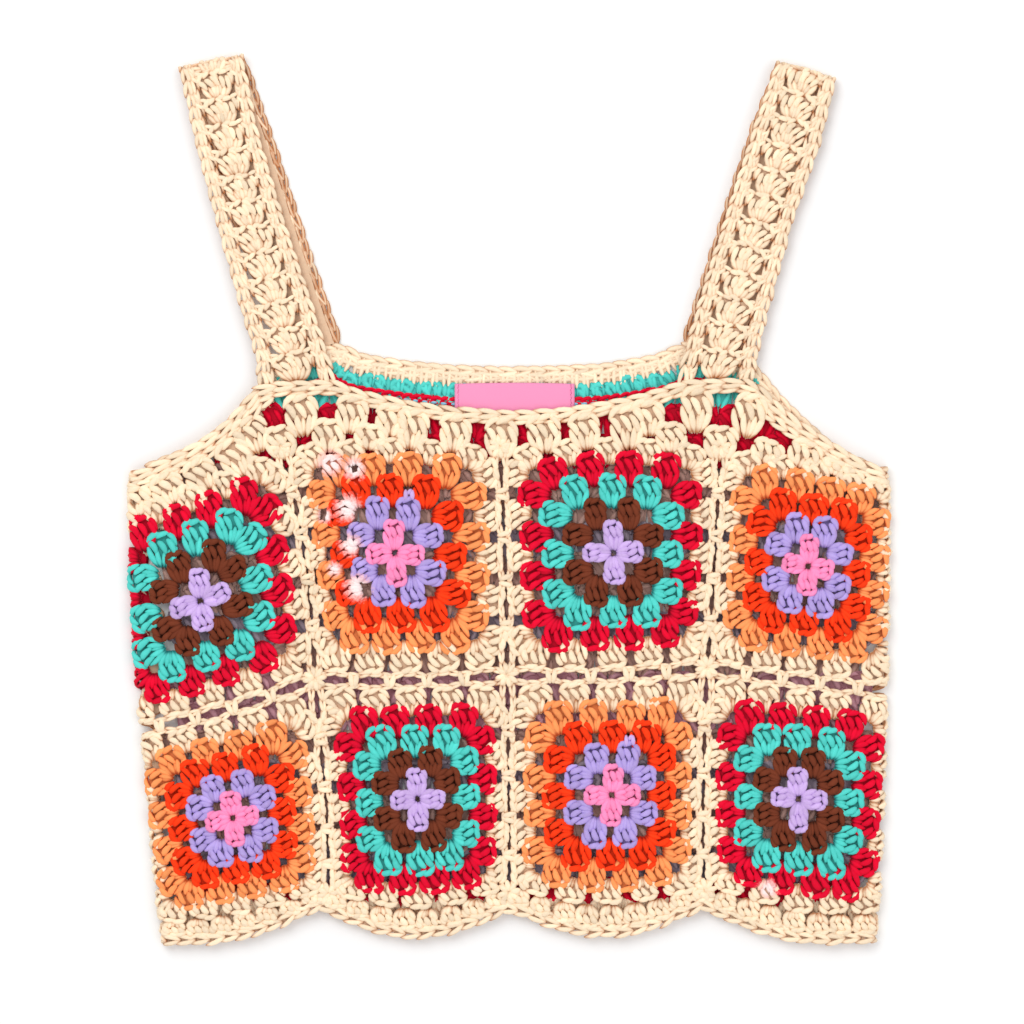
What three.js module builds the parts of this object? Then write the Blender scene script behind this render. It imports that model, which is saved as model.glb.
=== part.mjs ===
// A sleeveless crochet top, lying flat on its back: two rows of four granny squares, joined edge to
// edge, with a cream band worked along the neck and armholes, a scalloped hem, a striped back and two
// wide straps folded over at the shoulder. Millimetres. X runs across the chest, Y up towards the
// shoulders and Z up off the surface that the top lies on.
import * as THREE from 'three';

// ---- Driving dimensions ------------------------------------------------------------------------

const CLOTH = 2.8; // thickness of the crochet fabric, one layer
const LAYER_GAP = 1.0; // between the front and the back where they lie on each other
const SEAM_GAP = 0.3; // between two pieces that are joined edge to edge
const LABEL_THICKNESS = 0.4;
const TRIM_DEPTH = 12; // depth of the cream trim along the back neck and armholes

const SQUARE_STEPS = 8; // facets along each side of a granny square
const BEND_STEPS = 6; // facets round a fold of the fabric
const BACK_ROWS = 10; // facets down the back panel

const SQUARES_ACROSS = 4;
const SQUARE_ROWS = ['upper', 'lower'];

// The front as it would lie if its side edges weren't turned under. Each line runs across the four
// squares: side edge, middle of a square, seam, middle, seam and so on. Entries are [x, y].
const FRONT_LINES = {
  top: [[-214, -9], [-167, 9], [-120, 27], [-63, 33], [-5, 27], [51, 33], [111, 27], [162, 21], [206, 6]],
  upper_middle: [[-216, -68], [-162, -54], [-107, -31], [-60, -29], [-2, -32], [55, -29], [108, -31],
    [157, -36], [205, -43]],
  waist: [[-203, -123], [-155, -113], [-102, -95], [-53, -96], [-1, -93], [53, -93], [104, -89],
    [153, -96], [206, -102]],
  lower_middle: [[-194, -179], [-145, -168], [-96, -163], [-48, -158], [0, -157], [54, -156],
    [102, -156], [152, -158], [202, -161]],
  bottom: [[-188, -226], [-143, -222], [-95, -208], [-48, -220], [0, -207], [51, -218], [103, -206],
    [153, -221], [199, -222]],
};

// Where the two side folds lie, from the underarm to the hem.
const SIDE_FOLDS = [
  { y: 30, left: -200, right: 200 },
  { y: -33, left: -200, right: 200 },
  { y: -75, left: -198, right: 199.5 },
  { y: -117, left: -194, right: 198.5 },
  { y: -159, left: -190, right: 197 },
  { y: -196, left: -186.5, right: 195.5 },
  { y: -240, left: -182, right: 193 },
];

// Upper edge of the front band: armhole, foot of the strap, neck, foot of the strap, armhole.
const FRONT_EDGE = [
  { x: -214, y: 18 }, { x: -200, y: 12 }, { x: -184, y: 19 }, { x: -165, y: 28 }, { x: -149.5, y: 38.5 },
  { x: -138, y: 52 }, { x: -131.5, y: 60 }, { x: -91, y: 61.5 }, { x: -80, y: 56.5 }, { x: -55, y: 51 },
  { x: -31, y: 47.5 }, { x: 0, y: 45.5 }, { x: 27, y: 46.5 }, { x: 60, y: 52 }, { x: 80, y: 57 },
  { x: 88.5, y: 61 }, { x: 128.5, y: 63 }, { x: 134, y: 56 }, { x: 145, y: 46 }, { x: 158.5, y: 36 },
  { x: 179.5, y: 22.5 }, { x: 198, y: 14.5 }, { x: 206, y: 17 },
];

// Upper edge of the back, which stands higher than the front at the neck.
const BACK_EDGE = [
  { x: -190, y: 18 }, { x: -165, y: 28 }, { x: -148, y: 40 }, { x: -134, y: 56 }, { x: -120.5, y: 75 },
  { x: -88, y: 82 }, { x: -80, y: 76 }, { x: -56, y: 72 }, { x: -31, y: 69.5 }, { x: 6, y: 68.5 },
  { x: 48, y: 70 }, { x: 78, y: 75 }, { x: 91, y: 82 }, { x: 124, y: 75 }, { x: 132.5, y: 67 },
  { x: 140, y: 57 }, { x: 153, y: 43.5 }, { x: 172, y: 27 }, { x: 198, y: 14 },
];

// The hem's lower edge: one scallop under each square, sagging below the line between its ends.
const SCALLOPS = [
  { fromX: -184, fromY: -233, toX: -99.5, toY: -214.5, sag: 7 },
  { fromX: -99.5, fromY: -214.5, toX: 0.5, toY: -215.5, sag: 15 },
  { fromX: 0.5, fromY: -215.5, toX: 101.5, toY: -214.5, sag: 14.5 },
  { fromX: 101.5, fromY: -214.5, toX: 193, toY: -231.5, sag: 8 },
];

// The straps in cross rows, from the foot at the front over the shoulder to the foot at the back.
// Each row gives the end of the section at the armhole side and at the neck side.
const STRAPS = {
  strap_left: {
    front: [
      { armhole: [-131.5, 60], neck: [-91, 61.5] },
      { armhole: [-132.5, 74], neck: [-97, 80.5] },
      { armhole: [-140, 98], neck: [-105.5, 107.5] },
      { armhole: [-152, 140.5], neck: [-119, 147.5] },
      { armhole: [-164, 186], neck: [-132, 191.5] },
      { armhole: [-173, 227], neck: [-140.5, 233.5] },
    ],
    back: [
      { armhole: [-172.5, 225], neck: [-139, 232] },
      { armhole: [-155.5, 177.5], neck: [-123, 186] },
      { armhole: [-140.5, 133], neck: [-108.5, 141.5] },
      { armhole: [-129.5, 100], neck: [-97.5, 108.5] },
      { armhole: [-120.5, 75], neck: [-88, 82] },
    ],
  },
  strap_right: {
    front: [
      { armhole: [128.5, 63], neck: [88.5, 61] },
      { armhole: [130.5, 76.5], neck: [94.5, 84] },
      { armhole: [137, 102.5], neck: [102.5, 111.5] },
      { armhole: [148.5, 145], neck: [116, 154] },
      { armhole: [162.5, 184], neck: [128.5, 193] },
      { armhole: [171.5, 221], neck: [141.5, 230] },
    ],
    back: [
      { armhole: [171, 220], neck: [141, 229] },
      { armhole: [160.5, 184], neck: [127, 193] },
      { armhole: [147, 145], neck: [114, 154] },
      { armhole: [134.5, 102.5], neck: [100.5, 111.5] },
      { armhole: [124, 75], neck: [91, 82] },
    ],
  },
};

const LABEL = { left: -28.5, right: 34.5, bottom: 38, top: 60 };

// Half the height of the doubled fabric, and the radius of a fold at the middle of its wall.
const MID_HEIGHT = CLOTH + LAYER_GAP / 2;
const FOLD_RADIUS = MID_HEIGHT - CLOTH / 2;
const BEND_LENGTH = Math.PI * FOLD_RADIUS;
const HALF_CLOTH = CLOTH / 2;

// ---- Colours -------------------------------------------------------------------------------------

const YARN_ROUGHNESS = 0.75;
const yarn = (color) => new THREE.MeshStandardMaterial({ color, roughness: YARN_ROUGHNESS, metalness: 0 });
const CREAM = 0xf7deb8;
const CRIMSON = 0xdb1440;
const ORANGE = 0xff9a5a;
const LABEL_PINK = 0xf592c4;

// ---- Curves --------------------------------------------------------------------------------------

const mix = (a, b, t) => a + (b - a) * t;

// Reads column `to` of a table at the place `value` of its column `from`, straight between rows and
// level past the ends.
function lookUp(table, from, to, value) {
  const rising = table[0][from] < table[table.length - 1][from];
  const rows = rising ? table : [...table].reverse();
  if (value <= rows[0][from]) return rows[0][to];
  for (let i = 1; i < rows.length; i += 1) {
    if (value <= rows[i][from]) {
      return mix(rows[i - 1][to], rows[i][to], (value - rows[i - 1][from]) / (rows[i][from] - rows[i - 1][from]));
    }
  }
  return rows[rows.length - 1][to];
}

// The value at t in 0..1 of the parabola through a, b and c at 0, 1/2 and 1.
const parabola = (a, b, c, t) => a * (1 - t) * (1 - 2 * t) + b * 4 * t * (1 - t) + c * t * (2 * t - 1);

// The hem's lower edge at x: each scallop sags as half a sine wave.
function hemEdge(x) {
  const inside = SCALLOPS.find((s) => x <= s.toX) ?? SCALLOPS[SCALLOPS.length - 1];
  const t = THREE.MathUtils.clamp((x - inside.fromX) / (inside.toX - inside.fromX), 0, 1);
  return mix(inside.fromY, inside.toY, t) - inside.sag * Math.sin(Math.PI * t);
}

// A point of the unfolded front, at s across and t down the square in this column and row.
function squarePoint(column, row, s, t) {
  const lines = Object.values(FRONT_LINES).slice(2 * row, 2 * row + 3);
  const across = [0, 1].map((axis) => lines.map((line) => {
    const [a, b, c] = line.slice(2 * column, 2 * column + 3).map((point) => point[axis]);
    return parabola(a, b, c, s);
  }));
  return across.map(([a, b, c]) => parabola(a, b, c, t));
}

// The x at which the front starts to bend round a side fold.
function bendStart(side, y) {
  const fold = lookUp(SIDE_FOLDS, 'y', side < 0 ? 'left' : 'right', y);
  return fold - side * MID_HEIGHT;
}

// Where a point of the unfolded front lies once the sides are turned under: flat on top of the back,
// then round a half circle, then flat below. lift is its distance from the middle of the wall.
function foldUnder(x, y, lift) {
  const side = Math.sign(x);
  const start = bendStart(side, y);
  const along = (x - start) * side;
  const radius = FOLD_RADIUS + lift;
  if (along <= 0) return [x, y, MID_HEIGHT + radius];
  if (along < BEND_LENGTH) {
    const angle = along / FOLD_RADIUS;
    return [start + side * radius * Math.sin(angle), y, MID_HEIGHT + radius * Math.cos(angle)];
  }
  return [start - side * (along - BEND_LENGTH), y, MID_HEIGHT - radius];
}

// The unfolded x of the front's side edge at height y, found by halving.
function sideEdge(side, y) {
  const column = side < 0 ? 0 : SQUARES_ACROSS - 1;
  const s = side < 0 ? 0 : 1;
  const at = (v) => squarePoint(column, v < 1 ? 0 : 1, s, v < 1 ? v : v - 1);
  let [above, below] = [0, SQUARE_ROWS.length];
  for (let i = 0; i < 30; i += 1) {
    const middle = (above + below) / 2;
    if (at(middle)[1] > y) above = middle; else below = middle;
  }
  return at(above)[0];
}

// The x on the underside where the back meets the front's turned edge at height y.
function undersideSeam(side, y) {
  const [x] = foldUnder(sideEdge(side, y), y, 0);
  return x - side * SEAM_GAP;
}

// The fraction s of a square's row t at which it is `along` past the start of the side bend.
function acrossAt(column, row, t, side, along) {
  let [low, high] = side < 0 ? [1, 0] : [0, 1];
  for (let i = 0; i < 30; i += 1) {
    const middle = (low + high) / 2;
    const [x, y] = squarePoint(column, row, middle, t);
    if ((x - bendStart(side, y)) * side < along) low = middle; else high = middle;
  }
  return low;
}

// ---- Closed walls from a grid of places -----------------------------------------------------------

// A wall of cloth: place(i, j, lift) gives its point at column i and row j, lifted off its middle.
function wall(name, columns, rows, place, material, thickness = CLOTH) {
  const positions = [];
  for (const lift of [thickness / 2, -thickness / 2]) {
    for (let j = 0; j <= rows; j += 1) {
      for (let i = 0; i <= columns; i += 1) positions.push(...place(i, j, lift));
    }
  }
  const layer = (columns + 1) * (rows + 1);
  const at = (i, j, k) => k * layer + j * (columns + 1) + i;
  const triangles = [];
  const quad = (a, b, c, d) => triangles.push(a, b, c, a, c, d);
  for (let j = 0; j < rows; j += 1) {
    for (let i = 0; i < columns; i += 1) {
      quad(at(i, j, 0), at(i, j + 1, 0), at(i + 1, j + 1, 0), at(i + 1, j, 0));
      quad(at(i, j, 1), at(i + 1, j, 1), at(i + 1, j + 1, 1), at(i, j + 1, 1));
    }
  }
  for (let i = 0; i < columns; i += 1) {
    quad(at(i, 0, 0), at(i + 1, 0, 0), at(i + 1, 0, 1), at(i, 0, 1));
    quad(at(i + 1, rows, 0), at(i, rows, 0), at(i, rows, 1), at(i + 1, rows, 1));
  }
  for (let j = 0; j < rows; j += 1) {
    quad(at(0, j + 1, 0), at(0, j, 0), at(0, j, 1), at(0, j + 1, 1));
    quad(at(columns, j, 0), at(columns, j + 1, 0), at(columns, j + 1, 1), at(columns, j, 1));
  }
  const geometry = new THREE.BufferGeometry();
  geometry.setAttribute('position', new THREE.Float32BufferAttribute(positions, 3));
  geometry.setIndex(triangles);
  geometry.computeVertexNormals();
  const mesh = new THREE.Mesh(geometry, material);
  mesh.name = name;
  return mesh;
}

// Evenly spaced numbers from a to b.
const spread = (a, b, steps) => Array.from({ length: steps + 1 }, (_, i) => mix(a, b, i / steps));

// Draws t in 0..1 in at both ends, by half a seam gap on a length of cloth.
const drawIn = (t, length) => mix(SEAM_GAP / 2 / length, 1 - SEAM_GAP / 2 / length, t);

// ---- Front ---------------------------------------------------------------------------------------

// The places across a square's row t, as fractions s. An outer square has extra ones round its bend.
function squareColumns(column, row, t) {
  const side = column === 0 ? -1 : Number(column === SQUARES_ACROSS - 1);
  if (side === 0) return spread(0, 1, SQUARE_STEPS);
  const inner = side < 0 ? 1 : 0;
  const outer = 1 - inner;
  const bend = spread(0, BEND_LENGTH, BEND_STEPS).map((along) => acrossAt(column, row, t, side, along));
  const flat = spread(inner, bend[0], SQUARE_STEPS).slice(0, -1);
  const found = [...flat, ...bend, outer];
  return side < 0 ? found.reverse() : found;
}

function grannySquare(column, row) {
  const name = `square_${SQUARE_ROWS[row]}_${column + 1}`;
  const crimsonOutside = (column + row) % 2 === 0;
  const across = squarePoint(column, row, 1, 0.5)[0] - squarePoint(column, row, 0, 0.5)[0];
  const down = squarePoint(column, row, 0.5, 0)[1] - squarePoint(column, row, 0.5, 1)[1];
  const columns = squareColumns(column, row, 0.5).length - 1;
  const place = (i, j, lift) => {
    const t = drawIn(j / SQUARE_STEPS, down);
    const s = drawIn(squareColumns(column, row, t)[i], across);
    return foldUnder(...squarePoint(column, row, s, t), lift);
  };
  return wall(name, columns, SQUARE_STEPS, place, yarn(crimsonOutside ? CRIMSON : ORANGE));
}

// Columns shared by a strip that runs along a whole line of squares, as {column, s} of its squares.
// extra holds the x of corners that need a column of their own.
function stripColumns(row, t, extra) {
  const found = [];
  for (let column = 0; column < SQUARES_ACROSS; column += 1) {
    for (const s of squareColumns(column, row, t)) found.push({ column, s, x: squarePoint(column, row, s, t)[0] });
  }
  for (const x of extra) {
    const column = [0, 1, 2, 3].find((c) => x <= squarePoint(c, row, 1, t)[0]);
    let [low, high] = [0, 1];
    for (let i = 0; i < 30; i += 1) {
      const s = (low + high) / 2;
      if (squarePoint(column, row, s, t)[0] < x) low = s; else high = s;
    }
    found.push({ column, s: low, x });
  }
  found.sort((a, b) => a.x - b.x);
  return found.filter((entry, i) => i === 0 || entry.x - found[i - 1].x > SEAM_GAP);
}

// A strip of edging between a line of the squares and a free edge, y = edge(x).
function edging(name, row, t, edge, extra, rows) {
  const stations = stripColumns(row, t, extra);
  const place = (i, j, lift) => {
    const { column, s, x } = stations[i];
    const inner = squarePoint(column, row, s, t)[1];
    const outer = edge(x);
    const share = mix(SEAM_GAP / Math.abs(outer - inner), 1, j / rows);
    const y = mix(inner, outer, share);
    return foldUnder(x, y, lift);
  };
  const fromTop = (i, j, lift) => place(i, t === 0 ? rows - j : j, lift);
  return wall(name, stations.length - 1, rows, fromTop, yarn(CREAM));
}

const frontEdge = (x) => lookUp(FRONT_EDGE, 'x', 'y', x);
const corners = (table) => table.slice(1, -1).map((row) => row.x);

// ---- Back ----------------------------------------------------------------------------------------

// The columns of the back: at its upper edge they stand at the corners of the edge table.
const backEdge = (x) => lookUp(BACK_EDGE, 'x', 'y', x);
const BACK_HEM_TOP = -212;
const backColumns = (() => {
  const left = undersideSeam(-1, BACK_EDGE[0].y);
  const right = undersideSeam(1, BACK_EDGE[BACK_EDGE.length - 1].y);
  const inside = BACK_EDGE.map((row) => row.x).filter((x) => x > left + 1 && x < right - 1);
  return [left, ...inside, right].map((x) => ({ x, share: (x - left) / (right - left), y: backEdge(x) }));
})();

// A point of the back in a column at height y. Below the trim the columns lean with the sides.
function backPoint(column, y, lift) {
  const x = mix(undersideSeam(-1, y), undersideSeam(1, y), column.share);
  return [x, y, HALF_CLOTH + lift];
}

// A piece of the back between two heights in each column.
function backPiece(name, rows, upper, lower, material) {
  const place = (i, j, lift) => {
    const column = backColumns[i];
    return backPoint(column, mix(upper(column), lower(column), j / rows), lift);
  };
  return wall(name, backColumns.length - 1, rows, place, material);
}

const trimLower = (column) => column.y - TRIM_DEPTH;

// The hidden hem keeps inside the front's scallops.
const backHemLower = (column) => hemEdge(backPoint(column, BACK_HEM_TOP, 0)[0]) + 2;

// ---- Straps --------------------------------------------------------------------------------------

// A strap's cross rows as {armhole, neck, height, bend}: bend is the angle round the shoulder fold.
function strap(name) {
  const { front, back } = STRAPS[name];
  const middle = ({ armhole, neck }) => [(armhole[0] + neck[0]) / 2, (armhole[1] + neck[1]) / 2];
  const [top, below] = [middle(front[front.length - 1]), middle(front[front.length - 2])];
  const run = Math.hypot(top[0] - below[0], top[1] - below[1]);
  const axis = [(top[0] - below[0]) / run, (top[1] - below[1]) / run];
  const slide = ([x, y], by) => [x + axis[0] * by, y + axis[1] * by];
  const shoulder = front[front.length - 1];
  const rows = [];
  front.slice(0, -1).forEach((row, i) => {
    const lift = i === 0 ? SEAM_GAP : 0;
    rows.push({ ends: [row.armhole, row.neck].map(([x, y]) => [x, y + lift]), angle: 0 });
  });
  for (const angle of spread(0, Math.PI, BEND_STEPS)) {
    rows.push({ ends: [shoulder.armhole, shoulder.neck].map((p) => slide(p, -MID_HEIGHT)), angle, bent: true });
  }
  back.slice(1).forEach((row, i) => {
    const lift = i === back.length - 2 ? SEAM_GAP : 0;
    rows.push({ ends: [row.armhole, row.neck].map(([x, y]) => [x, y + lift]), angle: Math.PI });
  });
  const place = (i, j, lift) => {
    const { ends, angle, bent } = rows[j];
    const [x, y] = [0, 1].map((k) => mix(ends[0][k], ends[1][k], i));
    const radius = FOLD_RADIUS + lift;
    const [px, py] = bent ? slide([x, y], radius * Math.sin(angle)) : [x, y];
    return [px, py, MID_HEIGHT + radius * Math.cos(angle)];
  };
  // Columns run from the armhole to the neck, so the left strap's rows are read from the shoulder.
  const leftHand = front[0].armhole[0] < 0;
  const ordered = leftHand ? (i, j, lift) => place(i, rows.length - 1 - j, lift) : place;
  return wall(name, 1, rows.length - 1, ordered, yarn(CREAM));
}

// ---- The top -------------------------------------------------------------------------------------

function neckLabel() {
  const height = CLOTH + SEAM_GAP + LABEL_THICKNESS / 2;
  const place = (i, j, lift) => [mix(LABEL.left, LABEL.right, i), mix(LABEL.top, LABEL.bottom, j), height + lift];
  const satin = new THREE.MeshStandardMaterial({ color: LABEL_PINK, roughness: 0.45, metalness: 0 });
  return wall('neck_label', 1, 1, place, satin, LABEL_THICKNESS);
}

const top = new THREE.Group();
SQUARE_ROWS.forEach((_, row) => {
  for (let column = 0; column < SQUARES_ACROSS; column += 1) top.add(grannySquare(column, row));
});
top.add(edging('front_band', 0, 0, frontEdge, corners(FRONT_EDGE), 2));
top.add(edging('front_hem', 1, 1, hemEdge, SCALLOPS.slice(1).map((scallop) => scallop.fromX), 1));
top.add(backPiece('back_trim', 1, (column) => column.y, (column) => trimLower(column) + SEAM_GAP, yarn(CREAM)));
top.add(backPiece('back_panel', BACK_ROWS, trimLower, () => BACK_HEM_TOP + SEAM_GAP, yarn(CRIMSON)));
top.add(backPiece('back_hem', 1, () => BACK_HEM_TOP, backHemLower, yarn(CREAM)));
for (const name of Object.keys(STRAPS)) top.add(strap(name));
top.add(neckLabel());

// Sets the origin under the middle of the top, at the height of the surface that it lies on.
const box = new THREE.Box3().setFromObject(top);
top.position.set(-(box.min.x + box.max.x) / 2, -(box.min.y + box.max.y) / 2, -box.min.z);

export default top;
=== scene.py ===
"""Looks of a crochet top that lies flat: granny squares, band, hem, straps and a striped back.

Every stitch is yarn. A strand is a short closed tube on a cubic curve, a stitch is a small set of
strands, and each piece is laid out as arrays of stitches on the cloth's surface. Lengths here are in
millimetres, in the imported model's frame, and become metres when a mesh is made.
"""

from __future__ import annotations

import logging
import math
from collections.abc import Callable
from dataclasses import dataclass, field
from enum import Enum

import bpy
import numpy as np
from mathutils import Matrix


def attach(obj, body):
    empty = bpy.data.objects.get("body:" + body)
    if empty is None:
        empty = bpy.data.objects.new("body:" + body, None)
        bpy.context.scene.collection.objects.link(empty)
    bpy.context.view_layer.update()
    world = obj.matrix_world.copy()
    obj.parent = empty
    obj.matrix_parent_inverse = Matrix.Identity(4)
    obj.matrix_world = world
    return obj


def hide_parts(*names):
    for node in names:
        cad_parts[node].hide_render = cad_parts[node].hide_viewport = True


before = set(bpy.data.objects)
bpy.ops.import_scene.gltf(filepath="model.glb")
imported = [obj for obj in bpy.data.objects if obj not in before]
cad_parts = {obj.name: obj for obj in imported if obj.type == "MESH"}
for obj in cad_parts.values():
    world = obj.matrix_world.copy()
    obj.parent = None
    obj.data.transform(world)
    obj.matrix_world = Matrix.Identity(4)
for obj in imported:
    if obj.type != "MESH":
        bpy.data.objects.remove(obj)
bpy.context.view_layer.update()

log = logging.getLogger("crochet_top")

Array = np.ndarray
Place = Callable[[Array, Array], Array]

MM = 0.001
CLOTH = 2.8
LAYER_GAP = 1.0
MID_HEIGHT = CLOTH + LAYER_GAP / 2
FOLD_RADIUS = MID_HEIGHT - CLOTH / 2
BEND_LENGTH = math.pi * FOLD_RADIUS
TRIM_DEPTH = 12.0
BACK_HEM_TOP = -212.0
SQUARES_ACROSS = 4

# The front as it would lie with its sides unfolded. Rows run across the squares at their top, middle,
# waist, middle and bottom; columns are side edge, middle of a square, seam, middle, seam and so on.
FRONT_LINES = np.array([
    [[-214, -9], [-167, 9], [-120, 27], [-63, 33], [-5, 27], [51, 33], [111, 27], [162, 21], [206, 6]],
    [[-216, -68], [-162, -54], [-107, -31], [-60, -29], [-2, -32], [55, -29], [108, -31], [157, -36],
     [205, -43]],
    [[-203, -123], [-155, -113], [-102, -95], [-53, -96], [-1, -93], [53, -93], [104, -89], [153, -96],
     [206, -102]],
    [[-194, -179], [-145, -168], [-96, -163], [-48, -158], [0, -157], [54, -156], [102, -156], [152, -158],
     [202, -161]],
    [[-188, -226], [-143, -222], [-95, -208], [-48, -220], [0, -207], [51, -218], [103, -206], [153, -221],
     [199, -222]],
], dtype=float)

# Columns y, left and right: where the side folds lie.
SIDE_FOLDS = np.array([
    [-240, -182, 193], [-196, -186.5, 195.5], [-159, -190, 197], [-117, -194, 198.5],
    [-75, -198, 199.5], [-33, -200, 200], [30, -200, 200],
])

# Columns x and y: the upper edges of the front and of the back.
FRONT_EDGE = np.array([
    [-214, 18], [-200, 12], [-184, 19], [-165, 28], [-149.5, 38.5], [-138, 52], [-131.5, 60], [-91, 61.5],
    [-80, 56.5], [-55, 51], [-31, 47.5], [0, 45.5], [27, 46.5], [60, 52], [80, 57], [88.5, 61], [128.5, 63],
    [134, 56], [145, 46], [158.5, 36], [179.5, 22.5], [198, 14.5], [206, 17],
])
BACK_EDGE = np.array([
    [-190, 18], [-165, 28], [-148, 40], [-134, 56], [-120.5, 75], [-88, 82], [-80, 76], [-56, 72],
    [-31, 69.5], [6, 68.5], [48, 70], [78, 75], [91, 82], [124, 75], [132.5, 67], [140, 57], [153, 43.5],
    [172, 27], [198, 14],
])

# Columns from x, from y, to x, to y and sag: one scallop of the hem under each square.
SCALLOPS = np.array([
    [-184, -233, -99.5, -214.5, 7], [-99.5, -214.5, 0.5, -215.5, 15],
    [0.5, -215.5, 101.5, -214.5, 14.5], [101.5, -214.5, 193, -231.5, 8],
])

# ---- Yarn colours, painted shade and finishes ---------------------------------------------------


def linear(red: int, green: int, blue: int) -> tuple[float, float, float, float]:
    """Turns an sRGB colour of 0 to 255 into the linear colour that shaders take."""
    channels = (c / 255 for c in (red, green, blue))
    return (*(c / 12.92 if c <= 0.04045 else ((c + 0.055) / 1.055) ** 2.4 for c in channels), 1.0)


@dataclass(frozen=True)
class YarnFinishAndShade:
    """One colour of smooth cotton yarn: its colour and the painted shade between its strands."""

    title: str
    colour: tuple[int, int, int]
    crevice_shade: tuple[int, int, int]
    roughness: float = 0.62
    sheen: float = 0.04
    specular: float = 0.1

    def material(self) -> bpy.types.Material:
        """Builds the yarn's material once and returns it.

        Returns:
            The material named after the yarn.
        """
        found = bpy.data.materials.get(self.title)
        if found:
            return found
        material = bpy.data.materials.new(self.title)
        material.use_nodes = True
        tree = material.node_tree
        shader = tree.nodes["Principled BSDF"]
        group = tree.nodes.new("ShaderNodeGroup")
        group.node_tree = yarn_shading()
        group.inputs["Colour"].default_value = linear(*self.colour)
        group.inputs["CreviceShade"].default_value = linear(*self.crevice_shade)
        tree.links.new(group.outputs["Colour"], shader.inputs["Base Color"])
        tree.links.new(group.outputs["Roughness"], shader.inputs["Roughness"])
        tree.links.new(group.outputs["Normal"], shader.inputs["Normal"])
        group.inputs["Gloss"].default_value = self.roughness
        shader.inputs["Sheen Weight"].default_value = self.sheen
        shader.inputs["Sheen Roughness"].default_value = 0.5
        shader.inputs["Specular IOR Level"].default_value = self.specular
        return material


class Yarn(Enum):
    """The yarns of the top."""

    # The second colour of each yarn is painted shade: the deeper colour its strands take where they sink
    # between others.
    CREAM = YarnFinishAndShade("yarn_cream", (253, 230, 199), (188, 114, 60))
    CRIMSON = YarnFinishAndShade("yarn_crimson", (230, 2, 48), (100, 0, 14))
    TEAL = YarnFinishAndShade("yarn_teal", (86, 212, 202), (8, 96, 100))
    BROWN = YarnFinishAndShade("yarn_brown", (116, 54, 32), (34, 12, 6))
    LILAC = YarnFinishAndShade("yarn_lilac", (206, 176, 230), (112, 78, 146))
    PINK = YarnFinishAndShade("yarn_pink", (255, 148, 196), (196, 60, 108))
    PERIWINKLE = YarnFinishAndShade("yarn_periwinkle", (182, 162, 224), (92, 72, 146))
    VERMILION = YarnFinishAndShade("yarn_vermilion", (252, 62, 16), (150, 10, 0))
    ORANGE = YarnFinishAndShade("yarn_orange", (255, 160, 96), (190, 62, 20))
    BLUE = YarnFinishAndShade("yarn_pale_blue", (140, 206, 236), (60, 120, 160))
    MAUVE = YarnFinishAndShade("yarn_mauve", (212, 160, 172), (132, 44, 62))
    TAUPE = YarnFinishAndShade("yarn_taupe", (194, 154, 142), (128, 94, 86))
    SLATE = YarnFinishAndShade("yarn_slate", (164, 148, 160), (98, 88, 104))


YARNS = list(Yarn)
SQUARE_PALETTES = (
    (Yarn.LILAC, Yarn.BROWN, Yarn.TEAL, Yarn.CRIMSON, Yarn.CREAM),
    (Yarn.PINK, Yarn.PERIWINKLE, Yarn.VERMILION, Yarn.ORANGE, Yarn.CREAM),
)


def socket(tree: bpy.types.NodeTree, title: str, way: str, kind: str = "NodeSocketFloat") -> None:
    """Adds a named socket to a node group.

    Args:
        tree: the group.
        title: the socket's name.
        way: INPUT or OUTPUT.
        kind: the socket's type.
    """
    tree.interface.new_socket(name=title, in_out=way, socket_type=kind)


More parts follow.
